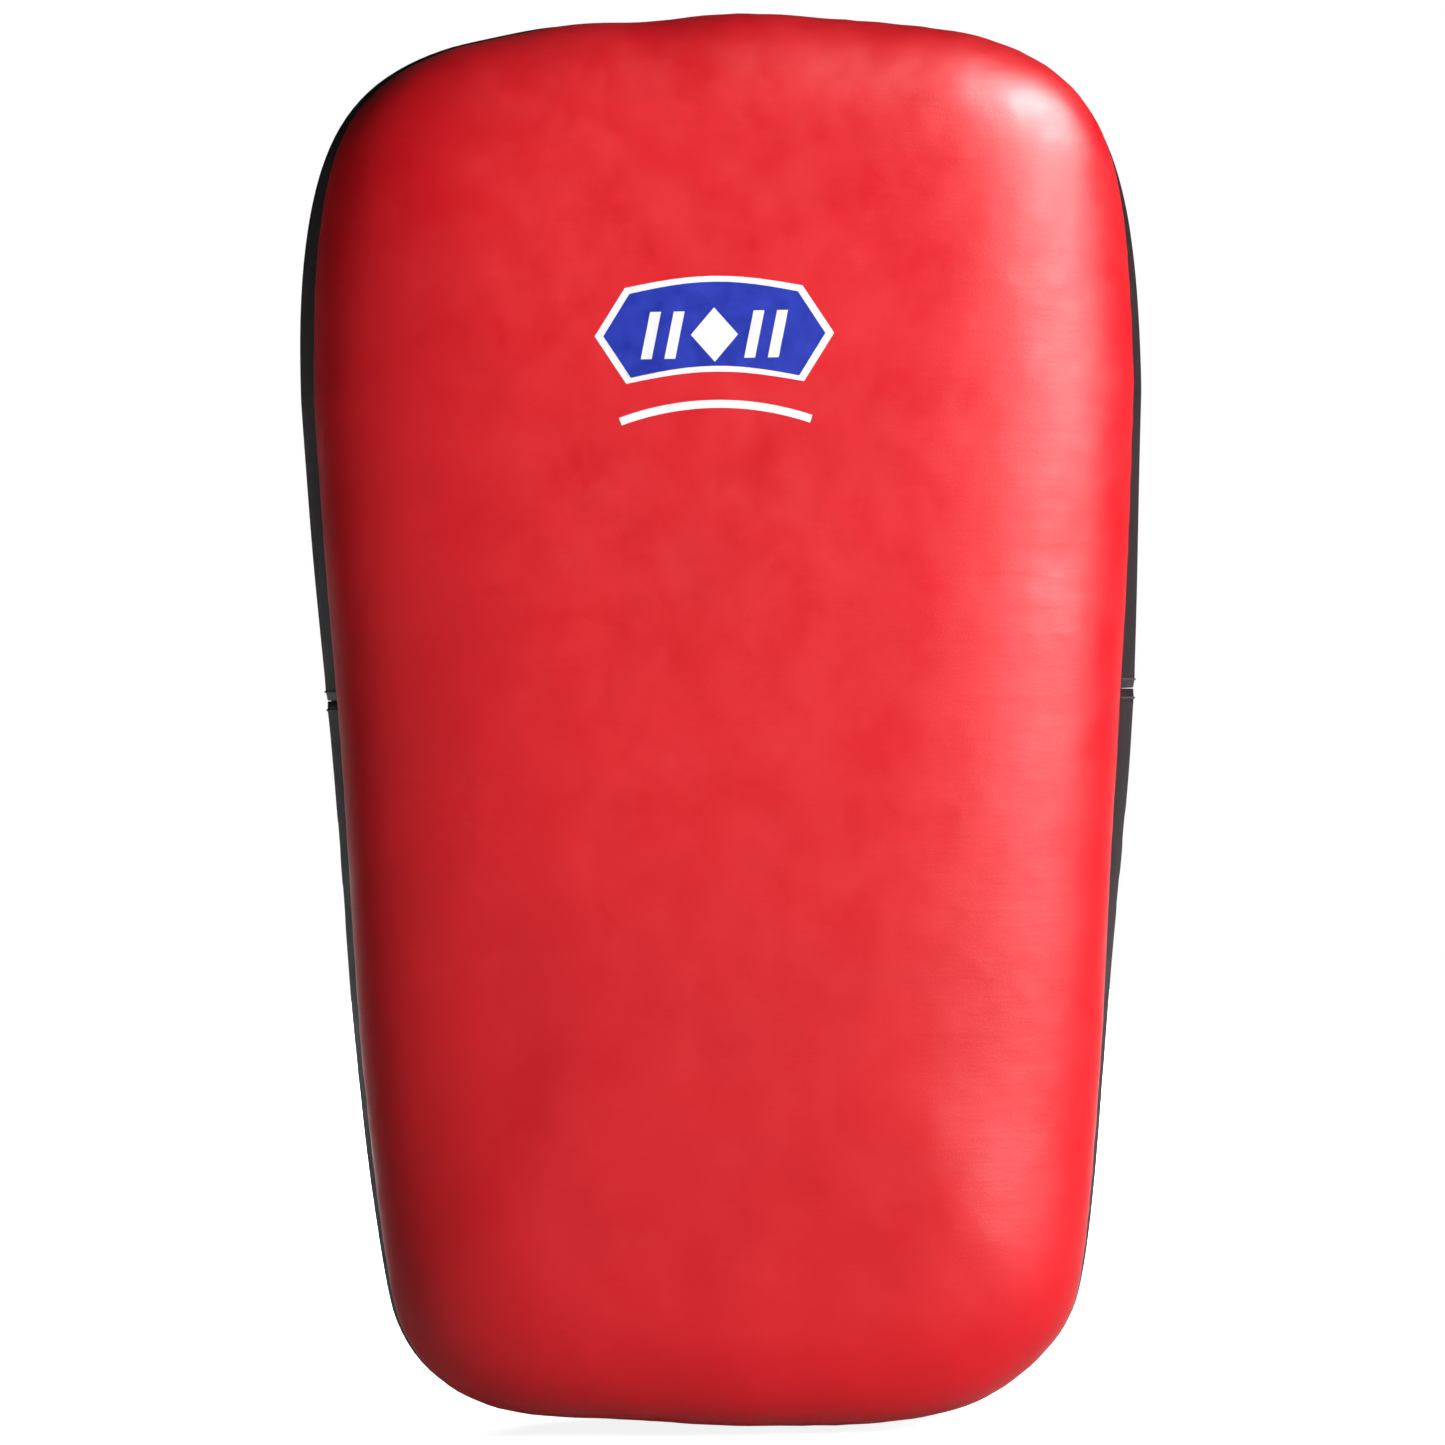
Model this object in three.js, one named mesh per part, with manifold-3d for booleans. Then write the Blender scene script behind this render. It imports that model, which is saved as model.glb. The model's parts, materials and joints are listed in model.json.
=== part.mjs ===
// Thai pad: a foam kick pad in a sewn leather case, with a grip handle and two forearm straps on its back.
// Millimetres. The pad stands on its lower end: +Z runs up its length, the striking face looks along -Y,
// the handle and the straps are on the +Y side. The origin is the middle of the flat at the lower end.
import * as THREE from 'three';
import Module from 'manifold-3d';
import { mergeVertices } from 'three/addons/utils/BufferGeometryUtils.js';

const wasm = await Module();
wasm.setup();

// ---- Driving dimensions ----

const GAP = 0.3; // clearance between pieces that touch
const FOAM_GAP = 1.5; // clearance between the foam and the gusset round it
const LEATHER = 1.8; // thickness of the case's skins
const OVERCUT = 1; // holes are cut this far beyond both faces

// The case, seen from the front.
const PAD_HEIGHT = 400;
const HALF_WIDTH = 119.1;
const WIDEST_Z = 293;
const BASE_HALF = 30; // half the width of the flat at the lower end
const CURVE_STEPS = 7;
const SPINE_LOW = 110; // the outline shrinks towards a line between these heights
const SPINE_HIGH = 290;

// The case, seen from the side.
const FRONT_Y = -50; // striking face
const SEAM_Y = -22; // where the front panel meets the gusset
const CASE_BACK_Y = 36; // where the gusset ends
const BACK_FACE_Y = CASE_BACK_Y + GAP + LEATHER; // outside of the back panel
const ROLL_WIDTH = 68; // how far in from the edge the front panel becomes flat
const ROLL_STEPS = 5;
const SEAM_TUCK = 4.5; // how far the front panel's seam sits inside the gusset at the sides
const END_TUCK = 2; // and how far at both ends
const TUCK_X = { end: 70, side: 105 }; // it changes between these distances from the middle
const TUCK_Z = { end: 20, side: 150 }; // and between these heights
const BACK_TUCK = 2.5;
const GUSSET_FULL_FROM = -8; // the gusset is at its full width between these depths
const GUSSET_FULL_TO = 22;
const GUSSET_JOIN_Z = 207; // the gusset's two strips meet here

// Tape over the back seam: how far its outer and inner corners sit in from the outline.
const BINDING = { tape: 1.2, lap: 9, skirt: 4, skirtOut: 0.3, skirtIn: 1.4, topOut: 0.6, topIn: 2.1 };

const EMBLEM_Z = 308;
const EMBLEM_FILM = 0.5; // let into the front panel, so that its face is level with the leather

// What the case holds, from front to back.
const CORE_BACK_Y = 8;
const REAR_FOAM_BACK_Y = 30;
const BOARD_THICKNESS = 3;
const BOARD_INSET = 8;

// Forearm pad on the back.
const ARM_PAD = { halfWidth: 50, low: 62, high: 250, corner: 20, height: 18, roll: 12 };

// Forearm straps. Each is an arch: an over-strap from the left laps a counter-strap from the right.
const STRAP_WIDTH = 55;
const STRAP_LOWS = { lower: 78, upper: 182 };
const WEB = 3; // strap thickness
const TAPE = 1.2; // thickness of the hook patch and of the loop patch
const ARCH_Y = 49; // the arch starts here, clear of the rivets; the straps turn about this depth
const ARCH_HALF = 62; // inside half-width of the arch
const ARCH_RISE = 62; // inside height of the arch above ARCH_Y
const ARCH_STEP = 4.5; // degrees; every layer is faceted on the same steps
const ARCH_SPAN = { over: [27, 180], hook: [36, 81], loop: [31.5, 85.5], counter: [0, 90] };
const FOOT_OUT = 94; // the sewn feet reach this far out
const STRAP_PATCH = 1.5;
const PATCH_CLEARANCE = 1; // between a patch and the turned-up strap beside it
const STRAP_RIVET_X = 85;
const STRAP_RIVET_SHARES = [0.2, 0.8]; // of the strap's width

// Handle.
const HANDLE_Z = 322;
const GRIP_Y = 88;
const GRIP_RADIUS = 15;
const GRIP_HALF = 50;
const GRIP_LEATHER = 1.5;
const GRIP_FOAM_INSET = 2; // the foam ends this far inside the cover
const HANDLE_WEB = 4;
const HANDLE_WEB_WIDTH = 22;
const HANDLE_ROOT_X = 72;
const HANDLE_ROOT_Y = 48;
const HANDLE_SWING_GAP = 3.5; // between leg and foot, so that the handle can rock
const HANDLE_SHOULDER = { x: 68, y: 74, run: 4 }; // where the legs bend towards the grip
const HANDLE_FOOT_OUT = 104;
const HANDLE_FOOT_WIDTH = 42;
const HANDLE_RIVET_XS = [85, 96];

const RIVET = { shank: 2, hole: 2.3, head: 4.5, dome: 1.8, brim: 0.8, bevel: 0.4, crownDrop: 0.3 };
const EYELET = { bore: 2.2, barrel: 3.1, hole: 3.4, flange: 5.5, depth: 10, heights: [150, 168] };
const EYELET_RIM = { tail: 1.7, edge: 0.9, crest: 1.1, lip: 0.7, bevel: 0.3, roll: 0.5 };
const SIDES = { bore: 10, eyelet: 14, rivet: 12, grip: 12 };

// ---- Materials ----

const paint = (color, roughness, metalness = 0) =>
  new THREE.MeshStandardMaterial({ color, roughness, metalness });

const MATERIALS = {
  redLeather: () => paint(0xd81e26, 0.42),
  blackLeather: () => paint(0x1c1517, 0.48),
  foam: () => paint(0xd8d2c4, 0.95),
  denseFoam: () => paint(0x8f8a80, 0.95),
  board: () => paint(0x303236, 0.7),
  binding: () => paint(0x151416, 0.85),
  webbing: () => paint(0x17161a, 0.8),
  tape: () => paint(0x101012, 0.95),
  steel: () => paint(0xb9bbbe, 0.3, 1),
  print: () => paint(0x1c2fae, 0.45),
};

// ---- Solids ----

/** A closed mesh from points and triangles, wound so that its faces point out. */
function solid(points, triangles) {
  let volume = 0;
  for (const [a, b, c] of triangles) {
    volume += points[a].dot(points[b].clone().cross(points[c]));
  }
  const index = triangles.flatMap(([a, b, c]) => (volume < 0 ? [a, c, b] : [a, b, c]));
  const geometry = new THREE.BufferGeometry();
  geometry.setAttribute('position', new THREE.Float32BufferAttribute(points.flatMap((p) => p.toArray()), 3));
  geometry.setIndex(index);
  geometry.computeVertexNormals();
  return geometry;
}

/** Joins rings of equal length into one closed solid: capped at both ends, or bent round on itself. */
function loft(rings, isLoop = false) {
  const count = rings[0].length;
  const triangles = [];
  const bands = isLoop ? rings.length : rings.length - 1;
  for (let band = 0; band < bands; band += 1) {
    const here = band * count;
    const next = ((band + 1) % rings.length) * count;
    for (let i = 0; i < count; i += 1) {
      const j = (i + 1) % count;
      triangles.push([here + i, here + j, next + j], [here + i, next + j, next + i]);
    }
  }
  if (!isLoop) {
    const cap = (ring, base, flip) => {
      const flat = ring.map((p) => new THREE.Vector2(p.x, p.z));
      for (const [a, b, c] of THREE.ShapeUtils.triangulateShape(flat, [])) {
        triangles.push(flip ? [base + a, base + c, base + b] : [base + a, base + b, base + c]);
      }
    };
    cap(rings[0], 0, true);
    cap(rings[rings.length - 1], (rings.length - 1) * count, false);
  }
  return solid(rings.flat(), triangles);
}

function toManifold(geometry) {
  const bare = geometry.clone();
  bare.deleteAttribute('normal');
  bare.deleteAttribute('uv');
  const merged = mergeVertices(bare, 1e-4);
  const vertProperties = new Float32Array(merged.attributes.position.array);
  const triVerts = new Uint32Array(merged.index.array);
  return new wasm.Manifold(new wasm.Mesh({ numProp: 3, vertProperties, triVerts }));
}

function fromManifold(manifold) {
  const mesh = manifold.getMesh();
  const geometry = new THREE.BufferGeometry();
  geometry.setAttribute('position', new THREE.Float32BufferAttribute(mesh.vertProperties, 3));
  geometry.setIndex(Array.from(mesh.triVerts));
  geometry.computeVertexNormals();
  return geometry;
}

function cut(geometry, tools) {
  const start = toManifold(geometry);
  return fromManifold(tools.reduce((left, tool) => left.subtract(toManifold(tool)), start));
}

/** Points of an arc about [x, y], between two angles in degrees. */
function arc(x, y, radius, fromAngle, toAngle) {
  const steps = 6;
  return Array.from({ length: steps + 1 }, (_, step) => {
    const angle = THREE.MathUtils.degToRad(fromAngle + ((toAngle - fromAngle) * step) / steps);
    return [x + radius * Math.cos(angle), y + radius * Math.sin(angle)];
  });
}

/** A closed turned piece; a profile of [radius, height] pairs that is off the axis is closed on itself. */
function turned(profile, segments) {
  const points = profile.map(([radius, height]) => new THREE.Vector2(radius, height));
  if (profile[0][0] > 0) {
    points.push(points[0].clone());
  }
  const geometry = new THREE.LatheGeometry(points, segments);
  geometry.deleteAttribute('normal');
  geometry.deleteAttribute('uv');
  const merged = mergeVertices(geometry, 1e-4);
  const position = merged.attributes.position;
  const corners = Array.from({ length: position.count }, (_, i) =>
    new THREE.Vector3().fromBufferAttribute(position, i),
  );
  const index = Array.from(merged.index.array);
  const triangles = [];
  for (let i = 0; i < index.length; i += 3) {
    const [a, b, c] = index.slice(i, i + 3);
    if (a !== b && b !== c && c !== a) {
      triangles.push([a, b, c]);
    }
  }
  return solid(corners, triangles);
}

/** A flat shape in X and Y, given as points, pushed up from z = low by width. */
function plank(points, low, width) {
  const shape = new THREE.Shape(points.map(([x, y]) => new THREE.Vector2(x, y)));
  const geometry = new THREE.ExtrudeGeometry(shape, { depth: width, bevelEnabled: false });
  return geometry.translate(0, 0, low);
}

/** A round bar along Y, used to cut holes. */
function bore(x, z, radius, fromY, toY) {
  const geometry = new THREE.CylinderGeometry(radius, radius, toY - fromY, SIDES.bore);
  return geometry.translate(x, (fromY + toY) / 2, z);
}

// ---- The case's outline ----

/** The right half of the outline from the middle of the lower end to the middle of the top, as [x, z]. */
function rightEdge() {
  const path = new THREE.Path();
  path.moveTo(0, 0);
  path.lineTo(BASE_HALF, 0);
  path.bezierCurveTo(52, 1, 86, 3, 96.5, 32.6); // lower corner
  path.bezierCurveTo(106.5, 64, HALF_WIDTH, WIDEST_Z - 6, HALF_WIDTH, WIDEST_Z); // side
  path.bezierCurveTo(HALF_WIDTH, 357, 110.6, 380, 77.2, 391.4); // shoulder
  path.bezierCurveTo(62.6, 396.3, 20, PAD_HEIGHT, 0, PAD_HEIGHT); // top
  return path.getPoints(CURVE_STEPS);
}

function mirrored(half) {
  const left = half
    .slice(1, -1)
    .reverse()
    .map((p) => new THREE.Vector2(-p.x, p.y));
  return [...half, ...left];
}

const CASE = { loop: mirrored(rightEdge()), low: SPINE_LOW, high: SPINE_HIGH };

/** The outline moved in by inset, towards its spine, at depth y. The inset may differ from point to point. */
function ring(outline, inset, y) {
  return outline.loop.map((p) => {
    const distance = typeof inset === 'function' ? inset(p) : inset;
    const spine = new THREE.Vector2(0, THREE.MathUtils.clamp(p.y, outline.low, outline.high));
    const way = spine.sub(p).normalize();
    return new THREE.Vector3(p.x + way.x * distance, y, p.y + way.y * distance);
  });
}

/** How far in the front seam sits: most at the sides, and less towards the lower end. */
function seamInset(p) {
  const atSide = THREE.MathUtils.smoothstep(Math.abs(p.x), TUCK_X.end, TUCK_X.side);
  const upThePad = THREE.MathUtils.smoothstep(p.y, TUCK_Z.end, TUCK_Z.side);
  return THREE.MathUtils.lerp(END_TUCK, SEAM_TUCK, atSide * upThePad);
}

/** How far in the gusset's outside is at depth y. */
function gussetInset(y) {
  if (y <= GUSSET_FULL_FROM) {
    const share = (GUSSET_FULL_FROM - y) / (GUSSET_FULL_FROM - SEAM_Y - GAP);
    return (p) => seamInset(p) * share;
  }
  const share = Math.max(0, y - GUSSET_FULL_TO) / (CASE_BACK_Y - GUSSET_FULL_TO);
  return () => BACK_TUCK * share;
}

const deeper = (inset, more) => (p) => inset(p) + more;

/** Rings of the rolled front edge, from the seam to the flat, moved in by inward. */
function rollRings(inward) {
  return Array.from({ length: ROLL_STEPS + 1 }, (_, step) => {
    const angle = ((Math.PI / 2) * step) / ROLL_STEPS;
    const y = SEAM_Y - (SEAM_Y - FRONT_Y - inward) * Math.sin(angle);
    const across = 1 - Math.cos(angle);
    return ring(CASE, (p) => {
      const start = seamInset(p) + inward;
      return start + (ROLL_WIDTH - start) * across;
    }, y);
  });
}

// ---- The case's pieces ----

function frontPanel() {
  const skin = loft([...rollRings(0).reverse(), ...rollRings(LEATHER)]);
  return cut(skin, [badge(GAP, FRONT_Y - OVERCUT, OVERCUT + EMBLEM_FILM + GAP)]);
}

function gussetBand() {
  const depths = [SEAM_Y + GAP, GUSSET_FULL_FROM, GUSSET_FULL_TO, CASE_BACK_Y];
  const outside = depths.map((y) => ring(CASE, gussetInset(y), y));
  const inside = depths.map((y) => ring(CASE, deeper(gussetInset(y), LEATHER), y)).reverse();
  return loft([...outside, ...inside], true);
}

/** One of the gusset's two strips: what is left when everything on the other side of the join is cut off. */
function gussetStrip(isUpper) {
  const size = 2 * PAD_HEIGHT;
  const away = new THREE.BoxGeometry(size, size, size);
  const edge = GUSSET_JOIN_Z + (isUpper ? GAP / 2 - size / 2 : size / 2 - GAP / 2);
  away.translate(0, 0, edge);
  return cut(gussetBand(), isUpper ? [away] : [away, ...eyeletPlaces().map(eyeletHole)]);
}

/** Foam that fills the case between two depths. */
function filling(fromY, toY) {
  const bends = [GUSSET_FULL_FROM, GUSSET_FULL_TO].filter((y) => y > fromY && y < toY);
  const depths = [fromY, ...bends, toY];
  return loft(depths.map((y) => ring(CASE, deeper(gussetInset(y), LEATHER + FOAM_GAP), y)));
}

function frontFoam() {
  return loft(rollRings(LEATHER + FOAM_GAP));
}

function rivetHoles(fromY, toY) {
  return rivetPlaces().map(({ x, z }) => bore(x, z, RIVET.hole, fromY, toY));
}

function backingBoard() {
  const low = REAR_FOAM_BACK_Y + GAP;
  const rings = [low, low + BOARD_THICKNESS].map((y) => ring(CASE, BOARD_INSET, y));
  return cut(loft(rings), rivetHoles(low - OVERCUT, low + BOARD_THICKNESS + OVERCUT));
}

function backPanel() {
  const rings = [CASE_BACK_Y + GAP, BACK_FACE_Y].map((y) => ring(CASE, BACK_TUCK, y));
  return cut(loft(rings), rivetHoles(CASE_BACK_Y - OVERCUT, BACK_FACE_Y + OVERCUT));
}

/** Tape folded over the back seam: an L in section, down the gusset and in over the back panel. */
function edgeBinding() {
  const skirtY = CASE_BACK_Y - BINDING.skirt;
  const under = BACK_FACE_Y + GAP;
  const over = under + BINDING.tape;
  const section = [
    [BINDING.skirtOut, skirtY],
    [BINDING.topOut, over],
    [BINDING.lap, over],
    [BINDING.lap, under],
    [BINDING.topIn, under],
    [BINDING.skirtIn, skirtY],
  ];
  return loft(section.map(([inset, y]) => ring(CASE, inset, y)), true);
}

/** A closed outline that runs anticlockwise, moved out by amount, with mitred corners. */
function grown(outline, amount) {
  const points = outline.map(([x, z]) => new THREE.Vector2(x, z));
  return points.map((p, i) => {
    const before = points[(i + points.length - 1) % points.length];
    const after = points[(i + 1) % points.length];
    const arriving = p.clone().sub(before).normalize();
    const leaving = after.clone().sub(p).normalize();
    const across = arriving.clone().add(leaving).multiplyScalar(amount / (1 + arriving.dot(leaving)));
    return new THREE.Vector2(p.x + across.y, p.y - across.x);
  });
}

/** A badge's plate from the depth fromY: a long hexagon with a curved bar under it, joined by a stem. */
function badge(grow, fromY, thickness) {
  const outline = [
    [-33, 0],
    [-24, -12],
    [-3, -14],
    [-3, -19],
    [-26, -23],
    [-25, -27],
    [0, -24],
    [25, -27],
    [26, -23],
    [3, -19],
    [3, -14],
    [24, -12],
    [33, 0],
    [24, 14],
    [-24, 14],
  ];
  const shape = new THREE.Shape(grown(outline, grow));
  const geometry = new THREE.ExtrudeGeometry(shape, { depth: thickness, bevelEnabled: false });
  return geometry.rotateX(Math.PI / 2).translate(0, fromY + thickness, EMBLEM_Z);
}

// ---- Eyelets ----

/** Where the vents sit on the gusset's side facets: a point and the way out. */
function eyeletPlaces() {
  const half = rightEdge();
  return EYELET.heights.flatMap((z) => {
    const above = half.findIndex((p) => p.y > z);
    const a = half[above - 1];
    const b = half[above];
    const x = THREE.MathUtils.mapLinear(z, a.y, b.y, a.x, b.x);
    const out = new THREE.Vector3(b.y - a.y, 0, a.x - b.x).normalize();
    return [1, -1].map((side) => ({
      point: new THREE.Vector3(side * x, EYELET.depth, z),
      out: new THREE.Vector3(side * out.x, 0, out.z),
    }));
  });
}

function turnTo(out) {
  return new THREE.Quaternion().setFromUnitVectors(new THREE.Vector3(0, 1, 0), out);
}

function eyeletHole({ point, out }) {
  const geometry = new THREE.CylinderGeometry(EYELET.hole, EYELET.hole, 3 * LEATHER, SIDES.eyelet);
  return geometry.applyQuaternion(turnTo(out)).translate(point.x, point.y, point.z);
}

function eyelet() {
  return turned(
    [
      [EYELET.bore, -EYELET_RIM.tail],
      [EYELET.barrel, -EYELET_RIM.tail],
      [EYELET.barrel, GAP],
      [EYELET.flange, GAP],
      [EYELET.flange - EYELET_RIM.bevel, EYELET_RIM.edge],
      [EYELET.bore + EYELET_RIM.roll, EYELET_RIM.crest],
      [EYELET.bore, EYELET_RIM.lip],
    ],
    SIDES.eyelet,
  );
}

// ---- Forearm pad ----

function armPadOutline() {
  const { halfWidth, low, high, corner } = ARM_PAD;
  const centres = [
    [halfWidth - corner, low + corner],
    [halfWidth - corner, high - corner],
    [corner - halfWidth, high - corner],
    [corner - halfWidth, low + corner],
  ];
  const cornerSteps = 4;
  const loop = centres.flatMap(([x, z], quarter) =>
    Array.from({ length: cornerSteps + 1 }, (_, step) => {
      const angle = ((quarter - 1 + step / cornerSteps) * Math.PI) / 2;
      return new THREE.Vector2(x + corner * Math.cos(angle), z + corner * Math.sin(angle));
    }),
  );
  return { loop, low: low + halfWidth, high: high - halfWidth };
}

function armPadRings(inward) {
  const outline = armPadOutline();
  const steps = 4;
  const base = BACK_FACE_Y + GAP;
  return Array.from({ length: steps + 1 }, (_, step) => {
    const angle = ((Math.PI / 2) * step) / steps;
    const inset = inward + (ARM_PAD.roll - inward) * (1 - Math.cos(angle));
    return ring(outline, inset, base + (ARM_PAD.height - inward) * Math.sin(angle));
  });
}

function armPadCover() {
  return loft([...armPadRings(0).reverse(), ...armPadRings(LEATHER)]);
}

// ---- Straps ----

/**
 * A stretch of the arch between two angles in degrees, from inner to outer above its inside.
 * An end at the root (0 or 180 degrees) is rounded, because the strap turns about it.
 */
function archBand([fromAngle, toAngle], inner, outer, low, width) {
  const steps = Math.round((toAngle - fromAngle) / ARCH_STEP);
  const at = (step, height) => {
    const angle = THREE.MathUtils.degToRad(fromAngle + step * ARCH_STEP);
    return [(ARCH_HALF + height) * Math.cos(angle), ARCH_Y + (ARCH_RISE + height) * Math.sin(angle)];
  };
  const inside = Array.from({ length: steps + 1 }, (_, step) => at(step, inner));
  const outside = Array.from({ length: steps + 1 }, (_, step) => at(step, outer)).reverse();
  const root = ARCH_HALF + (inner + outer) / 2;
  const radius = (outer - inner) / 2;
  const leftRoot = toAngle === 180 ? arc(-root, ARCH_Y, radius, 360, 180).slice(1, -1) : [];
  const rightRoot = fromAngle === 0 ? arc(root, ARCH_Y, radius, 360, 180).slice(1, -1) : [];
  return plank([...inside, ...leftRoot, ...outside, ...rightRoot], low, width);
}

const COUNTER_TOP = WEB;
const LOOP_LOW = COUNTER_TOP + GAP;
const HOOK_LOW = LOOP_LOW + TAPE + GAP;
const OVER_LOW = HOOK_LOW + TAPE + GAP;
const TAPE_MARGIN = 4;

/** A strap's sewn foot: flat on the back panel, turned up where the strap leaves it. */
function strapFoot(side, inner, low) {
  const x0 = side * (ARCH_HALF + inner);
  const x1 = side * (ARCH_HALF + inner + WEB);
  const out = side * FOOT_OUT;
  const base = BACK_FACE_Y + GAP;
  const top = ARCH_Y - WEB / 2 - GAP;
  const foot = [
    [x0, base],
    [out, base],
    [out, base + WEB],
    [x1, base + WEB],
    [x1, top],
    [x0, top],
  ];
  const places = strapRivets(side, low);
  const holes = places.map(({ x, z }) => bore(x, z, RIVET.hole, base - OVERCUT, base + WEB + OVERCUT));
  return cut(plank(foot, low, STRAP_WIDTH), holes);
}

function strapPatch(side, inner, low) {
  const y = BACK_FACE_Y + WEB + 2 * GAP;
  const x0 = side * (ARCH_HALF + inner + WEB + PATCH_CLEARANCE);
  const x1 = side * FOOT_OUT;
  const patch = [
    [x0, y],
    [x1, y],
    [x1, y + STRAP_PATCH],
    [x0, y + STRAP_PATCH],
  ];
  const places = strapRivets(side, low);
  const holes = places.map(({ x, z }) => bore(x, z, RIVET.hole, y - OVERCUT, y + STRAP_PATCH + OVERCUT));
  return cut(plank(patch, low, STRAP_WIDTH), holes);
}

function strapRivets(side, low) {
  return STRAP_RIVET_SHARES.map((share) => ({
    x: side * STRAP_RIVET_X,
    z: low + share * STRAP_WIDTH,
    top: WEB,
  }));
}

// ---- Handle ----

/** The strip that bridges the handle: up from one foot, through the grip, down to the other foot. */
function handleStrap() {
  const { x, y, run } = HANDLE_SHOULDER;
  const straight = GRIP_HALF + run;
  const line = new THREE.Path();
  line.moveTo(-HANDLE_ROOT_X, HANDLE_ROOT_Y);
  line.bezierCurveTo(-HANDLE_ROOT_X, y, -x, GRIP_Y, -straight, GRIP_Y);
  line.lineTo(straight, GRIP_Y);
  line.bezierCurveTo(x, GRIP_Y, HANDLE_ROOT_X, y, HANDLE_ROOT_X, HANDLE_ROOT_Y);
  const middle = line.getPoints(CURVE_STEPS);
  const side = (sign) =>
    middle.map((p, i) => {
      const before = middle[Math.max(i - 1, 0)];
      const after = middle[Math.min(i + 1, middle.length - 1)];
      const along = after.clone().sub(before).normalize();
      return [p.x - (sign * along.y * HANDLE_WEB) / 2, p.y + (sign * along.x * HANDLE_WEB) / 2];
    });
  return plank([...side(-1), ...side(1).reverse()], HANDLE_Z - HANDLE_WEB_WIDTH / 2, HANDLE_WEB_WIDTH);
}

/** A tube along X round the handle's strip. */
function gripTube(outerRadius, hole, halfLength) {
  const shape = new THREE.Shape();
  shape.absarc(0, 0, outerRadius, 0, 2 * Math.PI);
  shape.holes.push(hole);
  const options = { depth: 2 * halfLength, bevelEnabled: false, curveSegments: SIDES.grip };
  const geometry = new THREE.ExtrudeGeometry(shape, options);
  return geometry.rotateY(Math.PI / 2).translate(-halfLength, GRIP_Y, HANDLE_Z);
}

function gripFoam() {
  const slot = new THREE.Path();
  const halfWide = HANDLE_WEB_WIDTH / 2 + GAP;
  const halfThick = HANDLE_WEB / 2 + GAP;
  slot.moveTo(-halfWide, -halfThick);
  slot.lineTo(-halfWide, halfThick);
  slot.lineTo(halfWide, halfThick);
  slot.lineTo(halfWide, -halfThick);
  slot.closePath();
  return gripTube(GRIP_RADIUS - GRIP_LEATHER - GAP, slot, GRIP_HALF - GRIP_FOAM_INSET);
}

function gripCover() {
  const hole = new THREE.Path();
  hole.absarc(0, 0, GRIP_RADIUS - GRIP_LEATHER, 0, 2 * Math.PI, true);
  return gripTube(GRIP_RADIUS, hole, GRIP_HALF);
}

function handleRivets(side) {
  return HANDLE_RIVET_XS.map((x) => ({ x: side * x, z: HANDLE_Z, top: HANDLE_WEB }));
}

function handleFoot(side) {
  const base = BACK_FACE_Y + GAP;
  const half = HANDLE_WEB / 2;
  const inner = side * (HANDLE_ROOT_X - half);
  const outer = side * (HANDLE_ROOT_X + half);
  const top = HANDLE_ROOT_Y - HANDLE_SWING_GAP;
  const foot = [
    [inner, base],
    [side * HANDLE_FOOT_OUT, base],
    [side * HANDLE_FOOT_OUT, base + HANDLE_WEB],
    [outer, base + HANDLE_WEB],
    [outer, top],
    [inner, top],
  ];
  const places = handleRivets(side);
  const holes = places.map(({ x, z }) => bore(x, z, RIVET.hole, base - OVERCUT, base + HANDLE_WEB + OVERCUT));
  return cut(plank(foot, HANDLE_Z - HANDLE_FOOT_WIDTH / 2, HANDLE_FOOT_WIDTH), holes);
}

function handlePatch(side) {
  const y = BACK_FACE_Y + HANDLE_WEB + 2 * GAP;
  const inner = side * (HANDLE_ROOT_X + HANDLE_WEB);
  const patch = [
    [inner, y],
    [side * HANDLE_FOOT_OUT, y],
    [side * HANDLE_FOOT_OUT, y + STRAP_PATCH],
    [inner, y + STRAP_PATCH],
  ];
  const places = handleRivets(side);
  const holes = places.map(({ x, z }) => bore(x, z, RIVET.hole, y - OVERCUT, y + STRAP_PATCH + OVERCUT));
  return cut(plank(patch, HANDLE_Z - HANDLE_FOOT_WIDTH / 2, HANDLE_FOOT_WIDTH), holes);
}

// ---- Rivets ----

/** Every rivet's place on the back, named; top is the thickness of the foot it holds. */
function rivetPlaces() {
  const places = [];
  for (const [side, sideName] of [[-1, 'left'], [1, 'right']]) {
    for (const [strapName, low] of Object.entries(STRAP_LOWS)) {
      strapRivets(side, low).forEach((place, i) => {
        places.push({ ...place, name: `${strapName}_strap_rivet_${sideName}_${i + 1}` });
      });
    }
    handleRivets(side).forEach((place, i) => {
      places.push({ ...place, name: `handle_rivet_${sideName}_${i + 1}` });
    });
  }
  return places;
}

function rivet(top) {
  const tail = REAR_FOAM_BACK_Y + 2 * GAP;
  const head = BACK_FACE_Y + top + 3 * GAP + STRAP_PATCH;
  return turned(
    [
      [0, tail],
      [RIVET.shank, tail],
      [RIVET.shank, head],
      [RIVET.head, head],
      [RIVET.head - RIVET.bevel, head + RIVET.brim],
      [RIVET.head / 2, head + RIVET.dome - RIVET.crownDrop],
      [0, head + RIVET.dome],
    ],
    SIDES.rivet,
  );
}

// ---- Assembly ----

const pad = new THREE.Group();

function add(name, geometry, material, parent = pad) {
  const mesh = new THREE.Mesh(geometry, material());
  mesh.name = name;
  parent.add(mesh);
  return mesh;
}

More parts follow.
